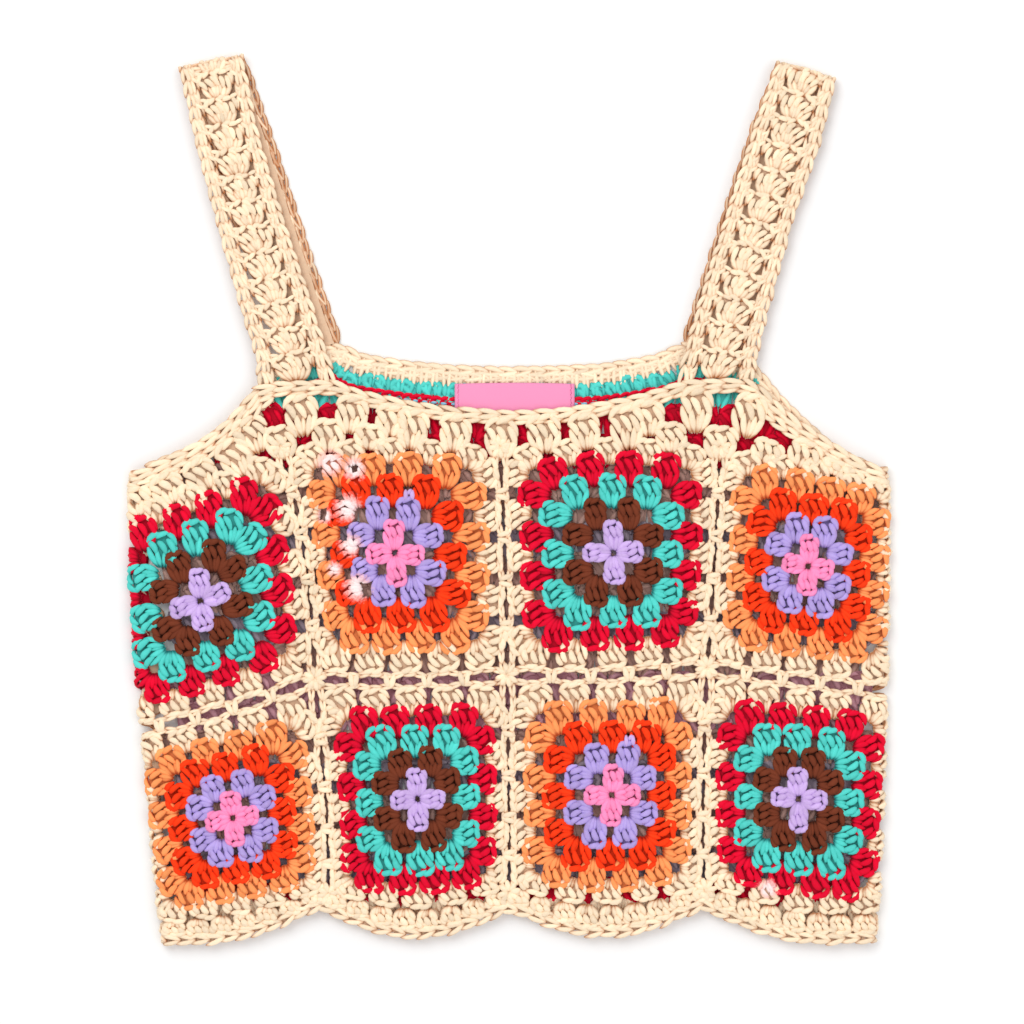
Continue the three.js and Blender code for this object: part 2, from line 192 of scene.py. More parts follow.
def yarn_shading() -> bpy.types.NodeTree:
    """Builds the shared yarn effect: painted crevice shade, tone, fading, fibres and a soft twist.

    Colour is the yarn's colour, deepened towards its painted shade colour where the vertex value that
    marks the shade between strands rises, lightened or darkened a little by "tone", and bleached towards
    white by "fading" broken up by noise. Normal carries fine ridges that wind round the strand, from the
    UV map "along".

    Returns:
        The node group.
    """
    found = bpy.data.node_groups.get("yarn_shading")
    if found:
        return found
    tree = bpy.data.node_groups.new("yarn_shading", "ShaderNodeTree")
    socket(tree, "Colour", "INPUT", "NodeSocketColor")
    socket(tree, "CreviceShade", "INPUT", "NodeSocketColor")
    socket(tree, "Gloss", "INPUT")
    socket(tree, "Colour", "OUTPUT", "NodeSocketColor")
    socket(tree, "Roughness", "OUTPUT")
    socket(tree, "Normal", "OUTPUT", "NodeSocketVector")
    new, link = tree.nodes.new, tree.links.new
    given, out = new("NodeGroupInput"), new("NodeGroupOutput")

    def attribute(title: str) -> bpy.types.NodeSocket:
        """Reads one of the mesh's own values."""
        node = new("ShaderNodeAttribute")
        node.attribute_name = title
        return node.outputs["Fac"]

    def maths(operation: str, a: object, b: object) -> bpy.types.NodeSocket:
        """Joins two values, each a socket or a number."""
        node = new("ShaderNodeMath")
        node.operation = operation
        for place, value in zip(node.inputs, (a, b)):
            if isinstance(value, bpy.types.NodeSocket):
                link(value, place)
            else:
                place.default_value = value
        return node.outputs[0]

    def smooth(value: bpy.types.NodeSocket, low: float, high: float,
               top: float = 1.0) -> bpy.types.NodeSocket:
        """Rises smoothly from 0 at low to top at high."""
        node = new("ShaderNodeMapRange")
        node.interpolation_type = "SMOOTHSTEP"
        link(value, node.inputs["Value"])
        node.inputs["From Min"].default_value = low
        node.inputs["From Max"].default_value = high
        node.inputs["To Max"].default_value = top
        return node.outputs["Result"]

    def mixed(share: bpy.types.NodeSocket, a: object, b: object) -> bpy.types.NodeSocket:
        """Blends two colours, each a socket or a colour."""
        node = new("ShaderNodeMix")
        node.data_type = "RGBA"
        link(share, node.inputs["Factor"])
        for title, value in (("A", a), ("B", b)):
            place = next(s for s in node.inputs if s.name == title and s.type == "RGBA")
            if isinstance(value, bpy.types.NodeSocket):
                link(value, place)
            else:
                place.default_value = value
        return next(s for s in node.outputs if s.type == "RGBA")

    coordinates = new("ShaderNodeTexCoord")
    speckle = new("ShaderNodeTexNoise")
    speckle.inputs["Scale"].default_value = 700.0
    speckle.inputs["Detail"].default_value = 3.0
    link(coordinates.outputs["Object"], speckle.inputs["Vector"])
    noise = speckle.outputs["Fac"]

    # Painted shade: the colour deepens towards the shade colour where the strands sink between others.
    deep = smooth(attribute("crevice_shade"), 0.15, 1.0)
    colour = mixed(deep, given.outputs["Colour"], given.outputs["CreviceShade"])
    wobble = maths("MULTIPLY", maths("SUBTRACT", noise, 0.5), 0.22)
    tone = maths("ADD", maths("ADD", maths("MULTIPLY", attribute("tone"), 0.055), wobble), 1.0)
    bright = new("ShaderNodeHueSaturation")
    link(colour, bright.inputs["Color"])
    link(tone, bright.inputs["Value"])
    blotch = maths("ADD", attribute("fading"), maths("MULTIPLY", maths("SUBTRACT", noise, 0.5), 0.7))
    rim = mixed(smooth(blotch, 0.22, 0.6, 0.75), bright.outputs["Color"], linear(253, 198, 192))
    faded = mixed(smooth(blotch, 0.5, 0.9, 0.95), rim, linear(255, 240, 238))
    link(faded, out.inputs["Colour"])
    link(maths("ADD", given.outputs["Gloss"], maths("MULTIPLY", wobble, 0.8)), out.inputs["Roughness"])

    along = new("ShaderNodeUVMap")
    along.uv_map = "along"
    split = new("ShaderNodeSeparateXYZ")
    link(along.outputs["UV"], split.inputs["Vector"])
    turns = maths("ADD", maths("MULTIPLY", split.outputs["X"], 4.0),
                  maths("MULTIPLY", split.outputs["Y"], 0.42))
    ridges = maths("SINE", maths("MULTIPLY", turns, 2 * math.pi), 0.0)
    height = maths("ADD", maths("MULTIPLY", ridges, 0.35), maths("MULTIPLY", noise, 1.4))
    bump = new("ShaderNodeBump")
    bump.inputs["Strength"].default_value = 0.5
    bump.inputs["Distance"].default_value = 0.00012
    link(height, bump.inputs["Height"])
    link(bump.outputs["Normal"], out.inputs["Normal"])
    return tree


# ---- The cloth's surface ------------------------------------------------------------------------


def parabola_shares(t: Array) -> Array:
    """The shares of three values at 0, 1/2 and 1 in the parabola through them at t."""
    return np.stack([(1 - t) * (1 - 2 * t), 4 * t * (1 - t), t * (2 * t - 1)], axis=-1)


def on_square(column: int, row: int, p: Array, q: Array) -> Array:
    """Finds points of one square on the unfolded front.

    The square is a patch that is a parabola both ways, through nine points of FRONT_LINES.

    Args:
        column: 0 to 3, from the left.
        row: 0 for the upper row, 1 for the lower.
        p: places across the square, -1 at its left edge and 1 at its right.
        q: places up the square, -1 at its lower edge and 1 at its upper.

    Returns:
        Points x, y in the last axis.
    """
    nine = FRONT_LINES[2 * row:2 * row + 3, 2 * column:2 * column + 3]
    down = parabola_shares((1 - np.asarray(q, float)) / 2)
    across = parabola_shares((1 + np.asarray(p, float)) / 2)
    return np.einsum("...a,...b,abd->...d", down, across, nine)


def fold_under(xy: Array, lift: Array) -> Array:
    """Lays points of the unfolded front down: flat, round the side folds, and flat below.

    Past the start of a fold, the distance along the cloth becomes an angle on a half circle whose
    radius is the fold's own plus the point's lift off the middle of the cloth.

    Args:
        xy: points on the unfolded front.
        lift: distances off the middle of the cloth, outwards.

    Returns:
        Points x, y, z.
    """
    x, y = xy[..., 0], xy[..., 1]
    side = np.where(x < 0, -1.0, 1.0)
    left = np.interp(y, SIDE_FOLDS[:, 0], SIDE_FOLDS[:, 1])
    right = np.interp(y, SIDE_FOLDS[:, 0], SIDE_FOLDS[:, 2])
    start = np.where(x < 0, left, right) - side * MID_HEIGHT
    along = (x - start) * side
    radius = FOLD_RADIUS + lift
    angle = np.clip(along / FOLD_RADIUS, 0, math.pi)
    beyond = np.maximum(along - BEND_LENGTH, 0)
    bent = start + side * (radius * np.sin(angle) - beyond)
    return np.stack([np.where(along <= 0, x, bent), y, MID_HEIGHT + radius * np.cos(angle)], axis=-1)


def on_back(xy: Array, lift: Array) -> Array:
    """Lays points of the back on the surface, with its outside, and so a positive lift, downwards."""
    return np.stack([xy[..., 0], xy[..., 1], CLOTH / 2 - lift], axis=-1)


def front_edge(x: Array) -> Array:
    """The height y of the front's upper edge at x."""
    return np.interp(x, FRONT_EDGE[:, 0], FRONT_EDGE[:, 1])


def back_edge(x: Array) -> Array:
    """The height y of the back's upper edge at x."""
    return np.interp(x, BACK_EDGE[:, 0], BACK_EDGE[:, 1])


def hem_edge(x: Array) -> Array:
    """The height y of the hem's lower edge at x: each scallop sags as half a sine wave."""
    x = np.asarray(x, float)
    inside = np.clip(np.searchsorted(SCALLOPS[:, 2], x), 0, len(SCALLOPS) - 1)
    x0, y0, x1, y1, sag = SCALLOPS[inside].T
    t = np.clip((x - x0) / (x1 - x0), 0, 1)
    return y0 + (y1 - y0) * t - sag * np.sin(math.pi * t)


def underside_seam(side: int, y: Array) -> Array:
    """The x on the underside where the front's turned edge meets the back, at heights y."""
    q = np.linspace(1, -1, 21)
    column = 0 if side < 0 else SQUARES_ACROSS - 1
    points = np.concatenate([on_square(column, row, np.full_like(q, side), q) for row in (0, 1)])
    order = np.argsort(points[:, 1])
    x = np.interp(y, points[order, 1], points[order, 0])
    return fold_under(np.stack([x, np.asarray(y, float)], axis=-1), np.zeros_like(x))[..., 0]


# ---- Strands and stitches -----------------------------------------------------------------------

RINGS = 5
SIDES = 6
# How uneven stitches are, as standard deviations: turn in degrees, length, width, radius, and the
# strands' control points in the stitch's own frame.
TURN_SPREAD = 2.2
LENGTH_SPREAD = 0.025
WIDTH_SPREAD = 0.035
RADIUS_SPREAD = 0.05
CONTROL_SPREAD = np.array([0.03, 0.012, 0.12])
# The lowest that a strand's middle goes, and the least flattening of a pressed strand's section.
LOWEST = -1.3
LEAST_FLAT = 0.62
SECTION_FLAT = 0.9
TIP_STEPS = np.concatenate(([0.0], np.linspace(0.10, 0.90, RINGS), [1.0]))


def curve_points(controls: Array) -> Array:
    """Points on cubic Bezier curves at TIP_STEPS, from their four control points."""
    t = TIP_STEPS
    shares = np.stack([(1 - t) ** 3, 3 * t * (1 - t) ** 2, 3 * t ** 2 * (1 - t), t ** 3], axis=-1)
    return np.einsum("kc,...cd->...kd", shares, controls)


@dataclass(frozen=True)
class Stitch:
    """A stitch's strands in its own frame: a across in half widths, b along from foot to head, c up.

    Each strand is the four control points of a cubic curve and a radius, with c and radius in mm.
    """

    strands: tuple[tuple[tuple[tuple[float, float, float], ...], float], ...]

    def controls(self) -> Array:
        """The control points, strand by strand."""
        return np.array([strand[0] for strand in self.strands], float)

    def radii(self) -> Array:
        """Each strand's radius."""
        return np.array([strand[1] for strand in self.strands], float)


def shaped(*strands: tuple[tuple[tuple[float, float], ...], tuple[float, ...], float]) -> Stitch:
    """Builds a stitch from strands given as four a, b places, four heights c and a radius."""
    return Stitch(tuple((tuple((*place, height) for place, height in zip(places, heights)), radius)
                        for places, heights, radius in strands))


LEG_HEIGHTS = (0.1, 0.7, 0.3, -1.2)
WRAP_HEIGHTS = (0.3, 1.5, 1.5, 0.3)
HEAD_HEIGHTS = (0.0, 1.0, 1.0, 0.0)

# Three double crochets worked into one space: legs that fan out of the foot, a fat slanting wrap
# across each post, and loops that close the head.
DOUBLE_CROCHETS = shaped(
    (((0.10, 0.48), (0.12, 0.32), (0.05, 0.16), (0.03, -0.02)), (-0.3, 0.3, 0.1, -1.0), 1.4),
    (((-0.82, 0.64), (-0.84, 0.40), (-0.50, 0.18), (-0.20, -0.02)), LEG_HEIGHTS, 1.75),
    (((-0.30, 0.56), (-0.32, 0.36), (-0.18, 0.18), (-0.08, -0.02)), LEG_HEIGHTS, 1.65),
    (((0.38, 0.54), (0.38, 0.34), (0.22, 0.16), (0.10, -0.02)), LEG_HEIGHTS, 1.65),
    (((0.82, 0.60), (0.82, 0.36), (0.50, 0.16), (0.20, -0.02)), LEG_HEIGHTS, 1.75),
    (((-0.90, 0.72), (-0.68, 0.76), (-0.42, 0.60), (-0.38, 0.38)), WRAP_HEIGHTS, 1.8),
    (((-0.34, 0.76), (-0.10, 0.74), (0.14, 0.58), (0.20, 0.37)), WRAP_HEIGHTS, 1.85),
    (((0.26, 0.80), (0.50, 0.74), (0.70, 0.56), (0.76, 0.34)), WRAP_HEIGHTS, 1.8),
    (((-0.92, 0.66), (-0.74, 0.93), (-0.36, 1.0), (0.08, 0.92)), HEAD_HEIGHTS, 1.7),
    (((-0.36, 0.80), (-0.22, 0.93), (0.16, 0.94), (0.52, 0.97)), HEAD_HEIGHTS, 1.7),
    (((0.36, 0.88), (0.60, 0.94), (0.84, 0.80), (0.93, 0.54)), HEAD_HEIGHTS, 1.6),
)
# Two double crochets worked into one space, for the back.
SMALL_CLUSTER = shaped(
    (((-0.90, 0.62), (-0.86, 0.38), (-0.50, 0.18), (-0.18, -0.02)), LEG_HEIGHTS, 1.5),
    (((0.02, 0.52), (0.02, 0.34), (0.0, 0.17), (0.0, -0.02)), LEG_HEIGHTS, 1.45),
    (((0.90, 0.54), (0.84, 0.34), (0.48, 0.16), (0.18, -0.02)), LEG_HEIGHTS, 1.5),
    (((-0.80, 0.80), (-0.46, 0.76), (-0.14, 0.60), (-0.08, 0.38)), WRAP_HEIGHTS, 1.75),
    (((0.06, 0.80), (0.40, 0.74), (0.68, 0.56), (0.74, 0.36)), WRAP_HEIGHTS, 1.75),
    (((-0.90, 0.70), (-0.66, 0.96), (-0.22, 1.02), (0.16, 0.88)), HEAD_HEIGHTS, 1.6),
    (((0.08, 0.90), (0.40, 1.02), (0.82, 0.90), (0.94, 0.60)), HEAD_HEIGHTS, 1.6),
)
CHAIN = shaped(
    (((-0.85, -0.35), (-1.0, 0.15), (-0.55, 0.75), (0.15, 1.15)), (-0.2, 0.9, 1.1, -0.1), 1.25),
    (((0.85, -0.35), (1.0, 0.15), (0.55, 0.75), (-0.15, 1.15)), (-0.2, 0.9, 1.1, -0.1), 1.25),
)
POST = shaped(
    (((-0.5, -0.08), (-0.6, 0.3), (-0.5, 0.7), (-0.35, 1.08)), (-0.6, 0.7, 0.8, -0.2), 1.15),
    (((0.5, -0.08), (0.6, 0.3), (0.5, 0.7), (0.35, 1.08)), (-0.6, 0.7, 0.8, -0.2), 1.15),
    (((-0.8, 0.78), (-0.3, 0.68), (0.3, 0.5), (0.8, 0.34)), (0.2, 1.4, 1.4, 0.2), 1.1),
)
BAR = shaped((((0.0, -0.05), (0.0, 0.3), (0.0, 0.7), (0.0, 1.05)), (-0.2, 1.3, 1.3, -0.2), 1.1))
# The ground behind a stitch, narrow between the heads below, and the ground that fills a cell.
PAD_OUTLINE = np.array([
    [-0.08, 0.12], [-0.34, 0.32], [-0.64, 0.46], [-0.80, 0.62], [-0.66, 0.86], [-0.25, 0.94],
    [0.25, 0.94], [0.66, 0.86], [0.80, 0.62], [0.64, 0.46], [0.34, 0.32], [0.08, 0.12],
])
CELL_OUTLINE = np.array([
    [-0.90, 0.00], [-0.95, 0.20], [-1.00, 0.40], [-1.00, 0.60], [-0.95, 0.80], [-0.90, 1.00],
    [0.90, 1.00], [0.95, 0.80], [1.00, 0.60], [1.00, 0.40], [0.95, 0.20], [0.90, 0.00],
])


@dataclass(frozen=True)
class Fading:
    """A place where the yarn has lost its colour."""

    x: float
    y: float
    reach: float


FADE_WIDTH = 1.1
FADINGS = (
    Fading(-93.7, 18.2, 7), Fading(-81, 15.4, 6), Fading(-84.7, -5.3, 7), Fading(-83.2, -24.7, 6),
    Fading(-79.5, -46.8, 7), Fading(-96.8, -9.5, 4), Fading(-91.6, -37.4, 4), Fading(135.8, -205.3, 5),
)


def fading_at(points: Array) -> Array:
    """How faded the yarn is at points: a bell round each Fading, on the front's face only."""
    total = np.zeros(points.shape[:-1])
    for spot in FADINGS:
        squared = (points[..., 0] - spot.x) ** 2 + (points[..., 1] - spot.y) ** 2
        total = np.maximum(total, np.exp(-squared / (FADE_WIDTH * spot.reach ** 2)))
    return np.where(points[..., 2] > MID_HEIGHT, total, 0.0)


def pressed(points: Array, level: float = 1.5) -> Array:
    """Flattens what reaches below level, so that nothing sinks into the surface below the cloth."""
    x, y, z = np.moveaxis(points, -1, 0)
    return np.stack([x, y, np.where(z < level, level * np.exp((z - level) / level), z)], axis=-1)


def make_object(name: str, vertices: Array, faces: list[Array], slots: list[Array],
                smooth: bool = True) -> bpy.types.Object:
    """Makes an object from whole arrays, with yarn materials by slot.

    Args:
        name: the piece's name.
        vertices: points in millimetres.
        faces: index arrays, one for each number of corners.
        slots: for each of those arrays, its faces' places in YARNS.
        smooth: whether its shading is smooth.

    Returns:
        The object, at the origin.
    """
    corners = np.concatenate([f.ravel() for f in faces])
    totals = np.concatenate([np.full(len(f), f.shape[1]) for f in faces])
    used, slot = np.unique(np.concatenate(slots), return_inverse=True)
    mesh = bpy.data.meshes.new(name)
    mesh.vertices.add(len(vertices))
    mesh.vertices.foreach_set("co", (pressed(vertices) * MM).astype(np.float32).ravel())
    mesh.loops.add(len(corners))
    mesh.loops.foreach_set("vertex_index", corners.astype(np.int32))
    mesh.polygons.add(len(totals))
    starts = np.concatenate(([0], np.cumsum(totals)[:-1]))
    mesh.polygons.foreach_set("loop_start", starts.astype(np.int32))
    for index in used:
        mesh.materials.append(YARNS[index].value.material())
    mesh.polygons.foreach_set("material_index", slot.astype(np.int32))
    mesh.update(calc_edges=True)
    if smooth:
        mesh.shade_smooth()
    else:
        mesh.shade_flat()
    piece = bpy.data.objects.new(name, mesh)
    bpy.context.collection.objects.link(piece)
    return piece


def add_values(piece: bpy.types.Object, values: dict[str, Array]) -> None:
    """Gives each vertex of a piece the named values that its material reads."""
    for title, numbers in values.items():
        layer = piece.data.attributes.new(title, "FLOAT", "POINT")
        layer.data.foreach_set("value", numbers.astype(np.float32).ravel())


def strand_faces() -> tuple[Array, Array, Array, Array]:
    """One strand's faces: quads between rings and triangles at its tips, with u round and v along.

    Returns:
        The quads, the triangles, and for each of them its corners' u and v.
    """
    ring, k = (a.ravel() for a in np.meshgrid(np.arange(RINGS - 1), np.arange(SIDES), indexing="ij"))
    after = (k + 1) % SIDES
    this, beyond = ring * SIDES, (ring + 1) * SIDES
    quads = np.stack([this + k, this + after, beyond + after, beyond + k], 1)
    u0, u1, v0, v1 = k / SIDES, (k + 1) / SIDES, TIP_STEPS[ring + 1], TIP_STEPS[ring + 2]
    quad_uv = np.stack([np.stack(c, -1) for c in ((u0, v0), (u1, v0), (u1, v1), (u0, v1))], 1)
    k = np.arange(SIDES)
    after, middle = (k + 1) % SIDES, (k + 0.5) / SIDES
    last = (RINGS - 1) * SIDES
    foot, head = (np.full(SIDES, RINGS * SIDES + end) for end in (0, 1))
    tips = np.concatenate([np.stack([foot, after, k], 1), np.stack([head, last + k, last + after], 1)])
    low, high = np.full(SIDES, TIP_STEPS[1]), np.full(SIDES, TIP_STEPS[-2])
    zero, one = np.zeros(SIDES), np.ones(SIDES)
    start = ((middle, zero), ((k + 1) / SIDES, low), (k / SIDES, low))
    end = ((middle, one), (k / SIDES, high), ((k + 1) / SIDES, high))
    tip_uv = np.concatenate([np.stack([np.stack(c, -1) for c in part], 1) for part in (start, end)])
    return quads, tips, quad_uv, tip_uv


def yarn_places(yarn: Array | Yarn, count: int) -> Array:
    """Each of count stitches' place in YARNS, from one yarn or from the places themselves."""
    return np.array(np.broadcast_to(YARNS.index(yarn) if isinstance(yarn, Yarn) else yarn, count))


@dataclass
class Skein:
    """The strands and the ground of one piece of crochet, gathered stitch by stitch.

    A strand is a tube on its curve. At each ring a circle lies across the curve, one axis along the
    cloth's normal, and the radius swells as the sine of the way along the strand.
    """

    name: str
    seed: int
    both_faces: bool = False
    centres: list[Array] = field(default_factory=list)
    normals: list[Array] = field(default_factory=list)
    radii: list[Array] = field(default_factory=list)
    heights: list[Array] = field(default_factory=list)
    flats: list[Array] = field(default_factory=list)
    yarns: list[Array] = field(default_factory=list)
    pads: list[Array] = field(default_factory=list)
    pad_yarns: list[Array] = field(default_factory=list)

    def __post_init__(self) -> None:
        """Starts the piece's own random numbers."""
        self.random = np.random.default_rng(self.seed)

    def add(self, stitch: Stitch, feet: Array, heads: Array, half_width: Array | float,
            yarn: Array | Yarn, place: Place, lift: float = 0.0, loose: float = 1.0, pad: bool = False,
            swell: float = 1.0, flat: float = 1.0) -> None:
        """Lays many copies of a stitch on the cloth.

        Args:
            stitch: the stitch.
            feet: where each copy starts, as x, y on the unfolded cloth.
            heads: where each copy ends.
            half_width: half of each copy's width.
            yarn: the yarn, or each copy's place in YARNS.
            place: lays x, y and a lift on the cloth.
            lift: added to each strand's height.
            loose: how uneven the copies are.
            pad: whether each copy has a patch of ground behind it.
            swell: scales the radii.
            flat: scales the heights, for pressed stitches.
        """
        count = len(feet)
        if not count:
            return
        draw = self.random.normal
        along = heads - feet
        turn = np.radians(draw(0, TURN_SPREAD * loose, count))
        along = np.stack([along[:, 0] * np.cos(turn) - along[:, 1] * np.sin(turn),
                          along[:, 0] * np.sin(turn) + along[:, 1] * np.cos(turn)], axis=1)
        along *= 1 + draw(0, LENGTH_SPREAD * loose, (count, 1))
        length = np.linalg.norm(along, axis=1, keepdims=True)
        across = np.stack([along[:, 1], -along[:, 0]], axis=1) / length
        across *= (np.broadcast_to(half_width, count) * (1 + draw(0, WIDTH_SPREAD * loose, count)))[:, None]
        controls = stitch.controls()[None] + draw(0, 1, (count, len(stitch.strands), 1, 3)) * (
            CONTROL_SPREAD * loose)
        local = curve_points(controls)
        xy = (feet[:, None, None] + local[..., 1:2] * along[:, None, None]
              + local[..., 0:1] * across[:, None, None])
        raised = np.maximum(local[..., 2] + lift, LOWEST) * flat
        self.centres.append(place(xy, raised).reshape(-1, len(TIP_STEPS), 3))
        self.normals.append((place(xy, raised + 0.1) - place(xy, raised)).reshape(-1, len(TIP_STEPS), 3))
        strands = len(stitch.strands)
        spread = 1 + draw(0, RADIUS_SPREAD * loose, (count, strands))
        self.radii.append((stitch.radii() * swell * spread).ravel())
        self.heights.append(raised.reshape(-1, len(TIP_STEPS)))
        self.flats.append(np.full(count * strands, SECTION_FLAT * max(flat, LEAST_FLAT)))
        self.yarns.append(np.repeat(yarn_places(yarn, count), strands))
        if pad:
            self.add_pads(feet, along, across, yarn, place)

    def back_up(self, feet: Array, heads: Array, half_width: float, yarn: Array | Yarn,
                place: Place) -> None:
        """Lays ground alone, in patches of CELL_OUTLINE's shape."""
        along = heads - feet
        across = np.stack([along[:, 1], -along[:, 0]], axis=1)
        across = across / np.linalg.norm(along, axis=1, keepdims=True)
        self.add_pads(feet, along, across * half_width, yarn, place, CELL_OUTLINE)

    def add_pads(self, feet: Array, along: Array, across: Array, yarn: Array | Yarn, place: Place,
                 shape: Array = PAD_OUTLINE) -> None:
        """Lays a thin closed patch of ground of the given shape for each stitch."""
        outline = (feet[:, None] + shape[None, :, 1:2] * along[:, None]
                   + shape[None, :, 0:1] * across[:, None])
        levels = (0.15, -0.15) if self.both_faces else (-0.5, -1.1)
        apart = np.broadcast_to(self.random.uniform(-0.08, 0.08, (len(feet), 1)), outline.shape[:-1])
        self.pads.append(np.stack([place(outline, c + apart) for c in levels], axis=1))
        self.pad_yarns.append(yarn_places(yarn, len(feet)))

    def yarn_piece(self) -> bpy.types.Object:
        """Makes the strands' mesh, with the values and UV maps that the yarn's material reads.

        Returns:
            The piece.
        """
        centres, normals = np.concatenate(self.centres), np.concatenate(self.normals)
        radii, yarns = np.concatenate(self.radii), np.concatenate(self.yarns)
        count = len(centres)
        tangents = np.gradient(centres, axis=1)
        tangents /= np.linalg.norm(tangents, axis=2, keepdims=True)
        normals = normals - (normals * tangents).sum(2, keepdims=True) * tangents
        normals /= np.maximum(np.linalg.norm(normals, axis=2, keepdims=True), 1e-9)
        sideways = np.cross(tangents, normals)
        angle = 2 * math.pi * np.arange(SIDES) / SIDES
        swell = np.sin(math.pi * TIP_STEPS[1:-1]) ** 0.5
        reach = radii[:, None] * swell
        flats = np.concatenate(self.flats)[:, None, None, None]
        ring = (normals[:, 1:-1, None] * np.cos(angle)[:, None] * flats + sideways[:, 1:-1, None]
                * np.sin(angle)[:, None]) * reach[..., None, None]
        rings = (centres[:, 1:-1, None] + ring).reshape(count, -1, 3)
        vertices = np.concatenate([rings, centres[:, :1], centres[:, -1:]], axis=1)
        size = vertices.shape[1]
        quads, tips, quad_uv, tip_uv = strand_faces()
        offset = (np.arange(count) * size)[:, None, None]
        faces = [(part[None] + offset).reshape(-1, part.shape[1]) for part in (quads, tips)]
        slots = [np.repeat(yarns, len(part)) for part in (quads, tips)]
        piece = make_object(f"{self.name}_yarn", vertices.reshape(-1, 3), faces, slots)

        # Painted shade: the nearer a vertex lies to the middle of the cloth, where strands sink between
        # others, the more of the shade colour it is given.
        heights = np.concatenate(self.heights)
        tops = heights[:, 1:-1, None] + reach[..., None] * np.cos(angle) * flats[..., 0]
        tops = np.concatenate([tops.reshape(count, -1), heights[:, :1], heights[:, -1:]], axis=1)
        above, below = (0.75, 0.75) if self.both_faces else (1.9, 0.9)
        crevice_shade = 1 - np.clip(np.maximum(tops / above, -tops / below), 0, 1)
        tone = np.repeat(self.random.normal(0, 1, count), size)
        add_values(piece, {"crevice_shade": crevice_shade, "tone": tone, "fading": fading_at(vertices)})

        length = np.linalg.norm(np.diff(centres, axis=1), axis=2).sum(1)
        across = math.ceil(math.sqrt(count))
        cell = np.stack([np.arange(count) % across, np.arange(count) // across], axis=1)
        cell = cell[:, None, None] / across
        margin = 0.08
        maps = {"along": [], "OFBake": []}
        for part in (quad_uv, tip_uv):
            whole = np.broadcast_to(part, (count, *part.shape))
            stretch = np.stack([np.ones(count), length], 1)[:, None, None]
            maps["along"].append((whole * stretch).reshape(-1, 2))
            maps["OFBake"].append((cell + (margin + whole * (1 - 2 * margin)) / across).reshape(-1, 2))
        for title, parts in maps.items():
            layer = piece.data.uv_layers.new(name=title, do_init=False)
            layer.uv.foreach_set("vector", np.concatenate(parts).astype(np.float32).ravel())
        return piece

    def ground_piece(self) -> tuple[bpy.types.Object, float]:
        """Makes the ground behind the stitches: thin closed patches of the stitches' outline.

        Returns:
            The piece and its area in square metres.
        """
        pads = np.concatenate(self.pads)
        count, corners = len(pads), len(PAD_OUTLINE)
        k = np.arange(corners)
        after = (k + 1) % corners
        top, bottom = k[::-1][None], (k + corners)[None]
        rim = np.stack([k, after, after + corners, k + corners], axis=1)
        offset = (np.arange(count) * 2 * corners)[:, None, None]
        parts = [np.concatenate([top, bottom]), rim]
        a, b = pads[:, 0] - pads[:, 0, :1], np.roll(pads[:, 0], -1, axis=1) - pads[:, 0, :1]
        facing = np.cross(a, b).sum(1)
        upward = (facing * (pads[:, 0] - pads[:, 1]).mean(1)).sum(1) > 0
        faces = []
        for part in parts:
            whole = part[None] + offset
            whole[upward] = whole[upward][:, :, ::-1]
            faces.append(whole.reshape(-1, part.shape[1]))
        yarns = np.concatenate(self.pad_yarns)
        piece = make_object(f"{self.name}_ground", pads.reshape(-1, 3), faces,
                            [np.repeat(yarns, len(part)) for part in parts], smooth=False)
        total = count * 2 * corners
        # Painted shade: the ground stands for the yarn behind the strands and is painted halfway into the
        # shade colour and a little darker by tone.
        add_values(piece, {"crevice_shade": np.full(total, 0.5), "tone": np.full(total, -1.0),
                           "fading": fading_at(pads.reshape(-1, 3)) * 0.6})
        area = np.linalg.norm(facing, axis=1).sum() / 2 * MM * MM
        return piece, float(area)


@dataclass(frozen=True)
class Cloth:
    """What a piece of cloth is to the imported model: node, slot, cut size and what it rests on."""

    node: str
    slot: str
    flat: tuple[float, float]
    rests_on: tuple[str, ...] = ()
    held: str = "laid"

    def declare(self, skein: Skein) -> None:
        """Args:
            skein: the piece's strands and ground.
        """
        ground, area = skein.ground_piece()
        yarn = skein.yarn_piece()
        for piece in (ground, yarn):
            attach(piece, "root")
        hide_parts(self.node)
        strands = len(yarn.data.vertices) // (RINGS * SIDES + 2)
        log.info("%s: %d strands, ground %.4f m2, %.2f of the cut's box", skein.name, strands, area,
                 area / (self.flat[0] * self.flat[1]))
        list(self.rests_on)


# ---- Layout along lines -------------------------------------------------------------------------


def walk(line: Array, pitch: float) -> Array:
    """Points evenly spaced along a polyline, about pitch apart, from its start to its end."""
    lengths = np.concatenate(([0], np.cumsum(np.linalg.norm(np.diff(line, axis=0), axis=1))))
    steps = max(2, round(lengths[-1] / pitch))
    at = np.linspace(0, lengths[-1], steps + 1)
    return np.stack([np.interp(at, lengths, line[:, i]) for i in (0, 1)], axis=1)


def aside(line: Array, distance: float) -> Array:
    """A polyline moved to its left by distance, each point along the mean normal there."""
    forward = np.gradient(line, axis=0)
    forward /= np.linalg.norm(forward, axis=1, keepdims=True)
    return line + distance * np.stack([-forward[:, 1], forward[:, 0]], axis=1)


def add_chain(skein: Skein, line: Array, pitch: float, half_width: float, place: Place,
              yarn: Yarn = Yarn.CREAM, lift: float = 0.0, swell: float = 1.0, flat: float = 1.0) -> None:
    """Lays a row of chain stitches along a polyline."""
    points = walk(line, pitch)
    skein.add(CHAIN, points[:-1], points[1:], half_width, yarn, place, lift=lift, loose=0.8, swell=swell,
              flat=flat)


# Where the lilac yarn's end stands up out of a square.
LILAC_ENDS = ((-52.6, 1.0), (63.2, -127.9))

# ---- Granny squares -----------------------------------------------------------------------------


@dataclass(frozen=True)
class GrannyRound:
    """One round of a square, in halves of the square, with its groups' half width in mm."""

    head: float
    foot: float
    pitch: float
    half_width: float


